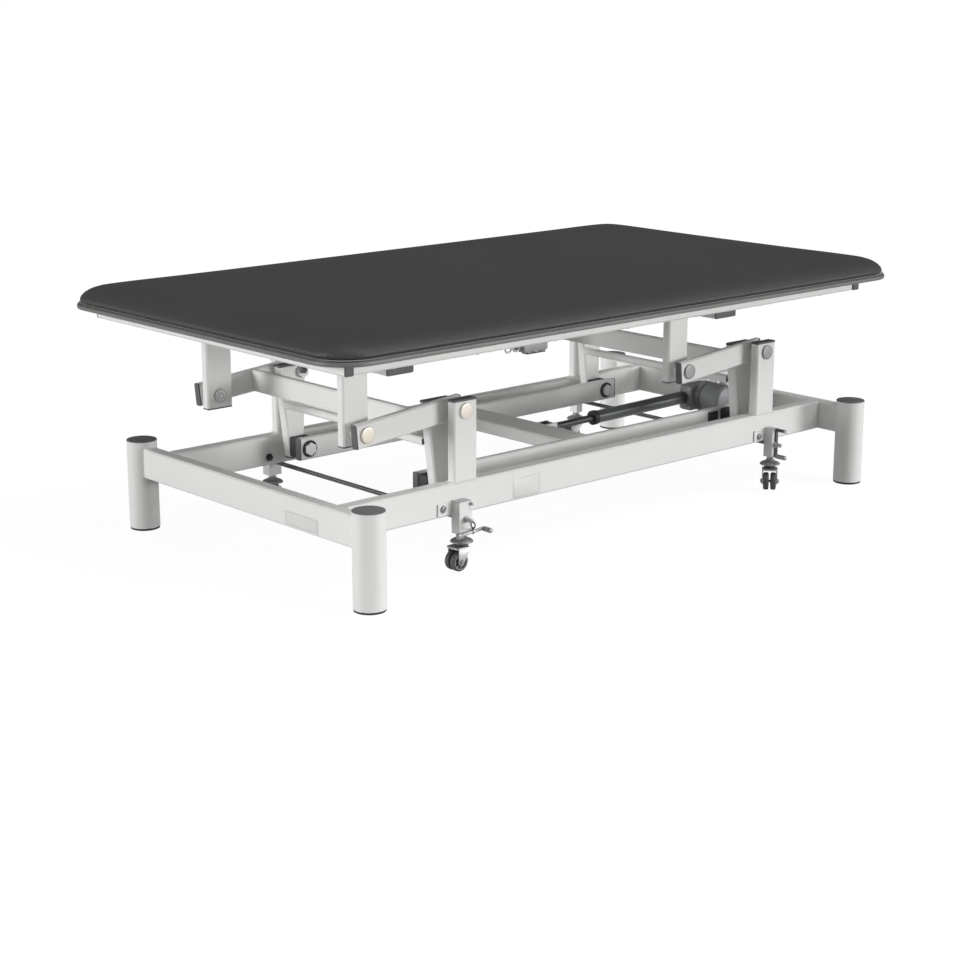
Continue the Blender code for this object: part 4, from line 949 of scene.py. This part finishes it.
# lift actuator: sizes in mm along it from the rod's eye
lift = {
    "rear": (704, 0, 9), "eye": 19.0, "eyeBore": 8.4, "eyeHalf": 12, "rod": 9.9, "rodStart": 16, "rodEnd": 440.0,
    "tube": 176.0, "tubeEnd": 557.0, "flat": 16.8, "collar": 20.5, "boxStart": 556.0, "boxLong": 84.0, "boxWide": 48.0,
    "boxHigh": 74.0, "boxShift": -8.0, "seam": 26, "screwY": (-24, 9), "screwZ": (-28, 28), "tongue": (40, 32, 83),
    "pin": 7, "pinHalf": 29,
}
motor = {
    "at": 612.0, "radius": 44.6, "start": 10, "long": 118, "ring": 46.0, "ringAt": 30, "ringLong": 22.0, "ribs": 60,
}
eyeAt = pivot["rod_swing"]
reachWay = Vector(lift["rear"]).normalized()
upWay = Vector((-reachWay.z, 0, reachWay.x))


def alongLift(start, shift=0.0):
    return eyeAt + Vector((0, shift, 0)) * mm + reachWay * start * mm, reachWay, upWay


e, bore, half = lift["eye"], lift["eyeBore"], lift["eyeHalf"]
eye = turned([(bore, -half), (e - 1, -half), (e, 1 - half), (e, half - 1), (e - 1, half), (bore, half)], 48, True)
length = lift["rodEnd"] - lift["rodStart"]
bar = turned([(0, 0), (lift["rod"], 0), (lift["rod"], length), (0, length)], 40)
shapes = [stand(eye, eyeAt, (0, 1, 0)), stand(bar, *alongLift(lift["rodStart"]))]
made = addPiece("lift_rod", gather(shapes), [blackBar], "actuator_rod", 36)
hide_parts("actuator_rod")

section = []  # eight flats with soft corners
for corner in range(8):
    for off, scale in ((-5, 0.992), (0, 0.999), (5, 0.992)):
        angle = math.radians(22.5 + 45 * corner + off)
        radius = lift["flat"] / math.cos(math.radians(22.5)) * scale * mm
        section.append((radius * math.cos(angle), radius * math.sin(angle)))
case = skin([[Vector((x, y, z * mm)) for x, y in section] for z in (6, lift["tubeEnd"] - lift["tube"])])
c = lift["collar"]
nose = [
    (10.2, 0), (c - 3, 0), (c - 1, 0.6), (c, 2), (c, 9), (c - 0.6, 9.6), (c - 0.6, 11), (c, 11.6), (c, 15), (c - 1, 16),
    (10.2, 16),
]
boxShape = softBlock(lift["boxHigh"], lift["boxWide"], lift["boxLong"], 9.0, 4.0)
seam = softBlock(lift["boxHigh"] + 1.2, lift["boxWide"] + 1.2, 5.0, 9.4, 1.0)
shapes = []
add(shapes, 0, case, *alongLift(lift["tube"]))
add(shapes, 2, turned(nose, 48, True), *alongLift(lift["tube"] - 2))
add(shapes, 1, boxShape, *alongLift(lift["boxStart"], lift["boxShift"]))
add(shapes, 1, seam, *alongLift(lift["boxStart"] + lift["seam"], lift["boxShift"]))
for y in lift["screwY"]:
    for z in lift["screwZ"]:
        head = turned([(0, 0), (4.2, 0), (4.2, 2.2), (3.4, 2.8), (1.8, 2.8), (1.8, 1.4), (0, 1.4)], 24)
        add(shapes, 3, head, alongLift(lift["boxStart"] - 0.1, y)[0] + upWay * z * mm, -reachWay)
add(shapes, 1, softBlock(*lift["tongue"], 4.0, 3.0), *alongLift(lift["boxStart"] + lift["boxLong"] - 1))
p, half = lift["pin"], lift["pinHalf"]
pin = turned([(0, -half), (p - 1, -half), (p, 1 - half), (p, half - 1), (p - 1, half), (0, half)], 32)
add(shapes, 3, pin, eyeAt + Vector(lift["rear"]) * mm, (0, 1, 0))
r, ring, start, long = motor["radius"], motor["ring"], motor["ringAt"], motor["long"]
stop = start + motor["ringLong"]
case = [
    (0, motor["start"]), (r - 2, motor["start"]), (r - 2, stop), (r - 0.8, stop + 0.6), (r, stop + 2), (r, long - 10),
    (r - 0.8, long - 5), (r - 3, long - 1), (r - 6, long + 0.6), (r - 7, long), (0, long),
]
disc = [(0, long - 0.4), (r - 7.4, long - 0.4), (r - 7.8, long + 1.2), (r - 9, long + 2), (0, long + 2)]
band = [(r - 6, start), (ring - 2.6, start), (ring - 2.6, stop - 2), (ring - 4, stop - 0.4), (r - 6, stop)]
ribSize = (4, 2, motor["ringLong"] - 3)
ribs = ribRing(motor["ribs"], ring - 2, ribSize, start + motor["ringLong"] / 2 - 0.5, motorCase)
for index, shape in ((1, turned(case, 72)), (4, turned(disc, 64)), (2, turned(band, 72, True)), (4, ribs)):
    add(shapes, index, shape, alongLift(motor["at"])[0], (0, -1, 0))
looks = [anodised, motorCase, blackNylonAndShade, zincPlate, hubNylon]
made = addPiece("lift_motor", gather(shapes), looks, "actuator_body", 34)
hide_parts("actuator_body")
print("actuator made")

# control box with sockets, hooks and knob under the top; on the front tie bar a black block, painted shade of the round
# bolt hole there
small = {
    "box": (80.0, 30.0, 17.0), "boxAt": (-365.0, -515.0), "sockets": (-22, 0, 22), "knobAt": (-940.5, -369.0),
    "hooks": (-447.0, -422.0), "hookY": -520.0, "hookRod": 2.4,
    "hook": ((-9, 0.5), (-9, -6), (-5, -11), (5, -11), (9, -6), (9, 0.5)),
    "tieBarHoleShade": (38.0, 25.0, 5.0), "tieBarHoleShadeAt": (596.0, 209.5),
}
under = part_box("top_rail_front")[0].z
down = (0, 0, -1)
boxX, boxY = small["boxAt"]
shapes = []
add(shapes, 3, softBlock(*small["box"], 4.0, 2.5), (boxX * mm, boxY * mm, under), down)
for offset in small["sockets"]:
    socket = turned([(4, 16), (7.2, 16), (7.2, 19.5), (6.6, 20.4), (4, 20.4), (4, 17)], 28, True)
    add(shapes, 1, socket, ((boxX + offset) * mm, boxY * mm, under), down)
for x in small["hooks"]:
    path = [Vector((x + aside, small["hookY"], under / mm + rise)) for aside, rise in small["hook"]]
    shapes.append(paint(rod(eased(path, 5), small["hookRod"]), 2))
knob = turned([(0, -0.3), (5, -0.3), (5, 5), (8.4, 6), (9.2, 8), (9.2, 13), (8, 15.4), (0, 16.4)], 40)
add(shapes, 0, knob, (small["knobAt"][0] * mm, small["knobAt"][1] * mm, under), down)
looks = [plugPlastic, capGrey, zincPlate, hubNylon]
addPiece("under_top_fittings", gather(shapes), looks, "top", 36)
# black block on the bar's front face: painted shade of the bolt hole in the bar
place = (small["tieBarHoleShadeAt"][0] * mm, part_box("tie_bar_front")[0].y, small["tieBarHoleShadeAt"][1] * mm)
tieBarHoleShade = stand(softBlock(*small["tieBarHoleShade"], 2.0, 1.0), place, (0, -1, 0))
addPiece("tie_bar_hole_shade", tieBarHoleShade, [blackNylonAndShade], "tie_frame", 36)

# blank foils where plates sit on the rails; size, place of the middle, outward direction, direction along the foil
foils = (
    ((130.0, 37.0), (-861.05, -243.0, 168.5), (-1, 0, 0), (0, 1, 0)),
    ((94.5, 55.6), (-248.2, -376.05, 176.8), (0, -1, 0), (1, 0, 0)),
)
foilBorder = ((3, 0.4), (3, 0.6), (4.1, 0.6), (4.1, 0.4))  # insets and heights round the printed line
shapes = []
for (wide, high), place, out, sideways in foils:
    place = Vector(place) * mm
    add(shapes, 0, softBlock(wide, high, 0.5, 2.5, 0.15), place, out, sideways)
    rings = []
    for inset, z in foilBorder:
        rings.append(softRectangle((wide / 2 - inset) * mm, (high / 2 - inset) * mm, 1.6 * mm, z * mm))
    add(shapes, 1, skin(rings, True), place, out, sideways)
addPiece("blank_foils", gather(shapes), [blankFoil, foilLine], "base", 36)
print("fittings made")

# weld beads where tubes meet; paths in mm
weld = {
    "bead": 2.3, "step": 3.2, "postHalf": 38.0, "postOuter": 373.0, "postInner": 349.0, "railY": (336.0, 376.0),
    "railZ": (149, 221), "railHalf": 19.0, "legX": 19.2, "legY": 475.5, "hangerHalf": 38.5, "hangerY": (268.0, 294.0),
}


def welds(name, paths, body):
    values = {"Bead": weld["bead"] * mm, "Step": weld["step"] * mm, "Finish": powderCoat}
    addPiece(name, grow(beadTree, pathMesh(paths), values), [], body, 60)


baseLines, topLines = [], []
legY = weld["legY"] - math.sqrt(leg["radius"] ** 2 - weld["railHalf"] ** 2)
for row, end in corners:
    sign, shift = rows[row], armShift[end].x / mm
    x, z = pivot["lift"].x / mm + shift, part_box(f"post_{row}_{end}")[0].z / mm
    left, right = x - weld["postHalf"], x + weld["postHalf"]
    outer, inner = sign * weld["postOuter"], sign * weld["postInner"]
    baseLines.append([(left, outer, z), (left, inner, z), (right, inner, z), (right, outer, z)])
    rail = [corner.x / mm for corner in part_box(f"base_rail_{end}")]
    face, legAt = rail[0 if end == "right" else 1], sum(rail) / 2
    spots = [(face, sign * y) for y in weld["railY"]]
    spots += [(legAt + turn * weld["legX"], sign * legY) for turn in (-1, 1)]
    baseLines += [[(*spot, z) for z in weld["railZ"]] for spot in spots]
    x, z = pivot["top_level"].x / mm + shift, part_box(f"hanger_{row}_{end}")[1].z / mm
    for y in weld["hangerY"]:
        topLines.append([(x - weld["hangerHalf"], sign * y, z), (x + weld["hangerHalf"], sign * y, z)])
welds("base_welds", baseLines, "base")
welds("hanger_welds", topLines, "top")
print("welds made")

# screws through the edge frame into the board
screw = {"radius": 5.0, "height": 2.4, "below": 1.1, "along": 7, "across": 3}
points = []
for side in (*rows, *ends):
    low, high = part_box(f"top_rail_{side}")
    count = screw["along"] if side in rows else screw["across"]
    for step in range(count):
        point = (low + high) / 2
        if side in rows:
            point.x = low.x + (high.x - low.x) * (step + 0.5) / count
        else:
            point.y = low.y + (high.y - low.y) * (step + 0.5) / count
        points.append((point.x, point.y, low.z - screw["below"] * mm))
spots = bpy.data.meshes.new("screw_spots")
spots.from_pydata(points, [], [])
values = {"Radius": screw["radius"] * mm, "Height": screw["height"] * mm, "Turn": (math.pi, 0, 0), "Finish": zincPlate}
addPiece("frame_screws", grow(screwTree, spots, values), [], "top", 36)
print("screws made")
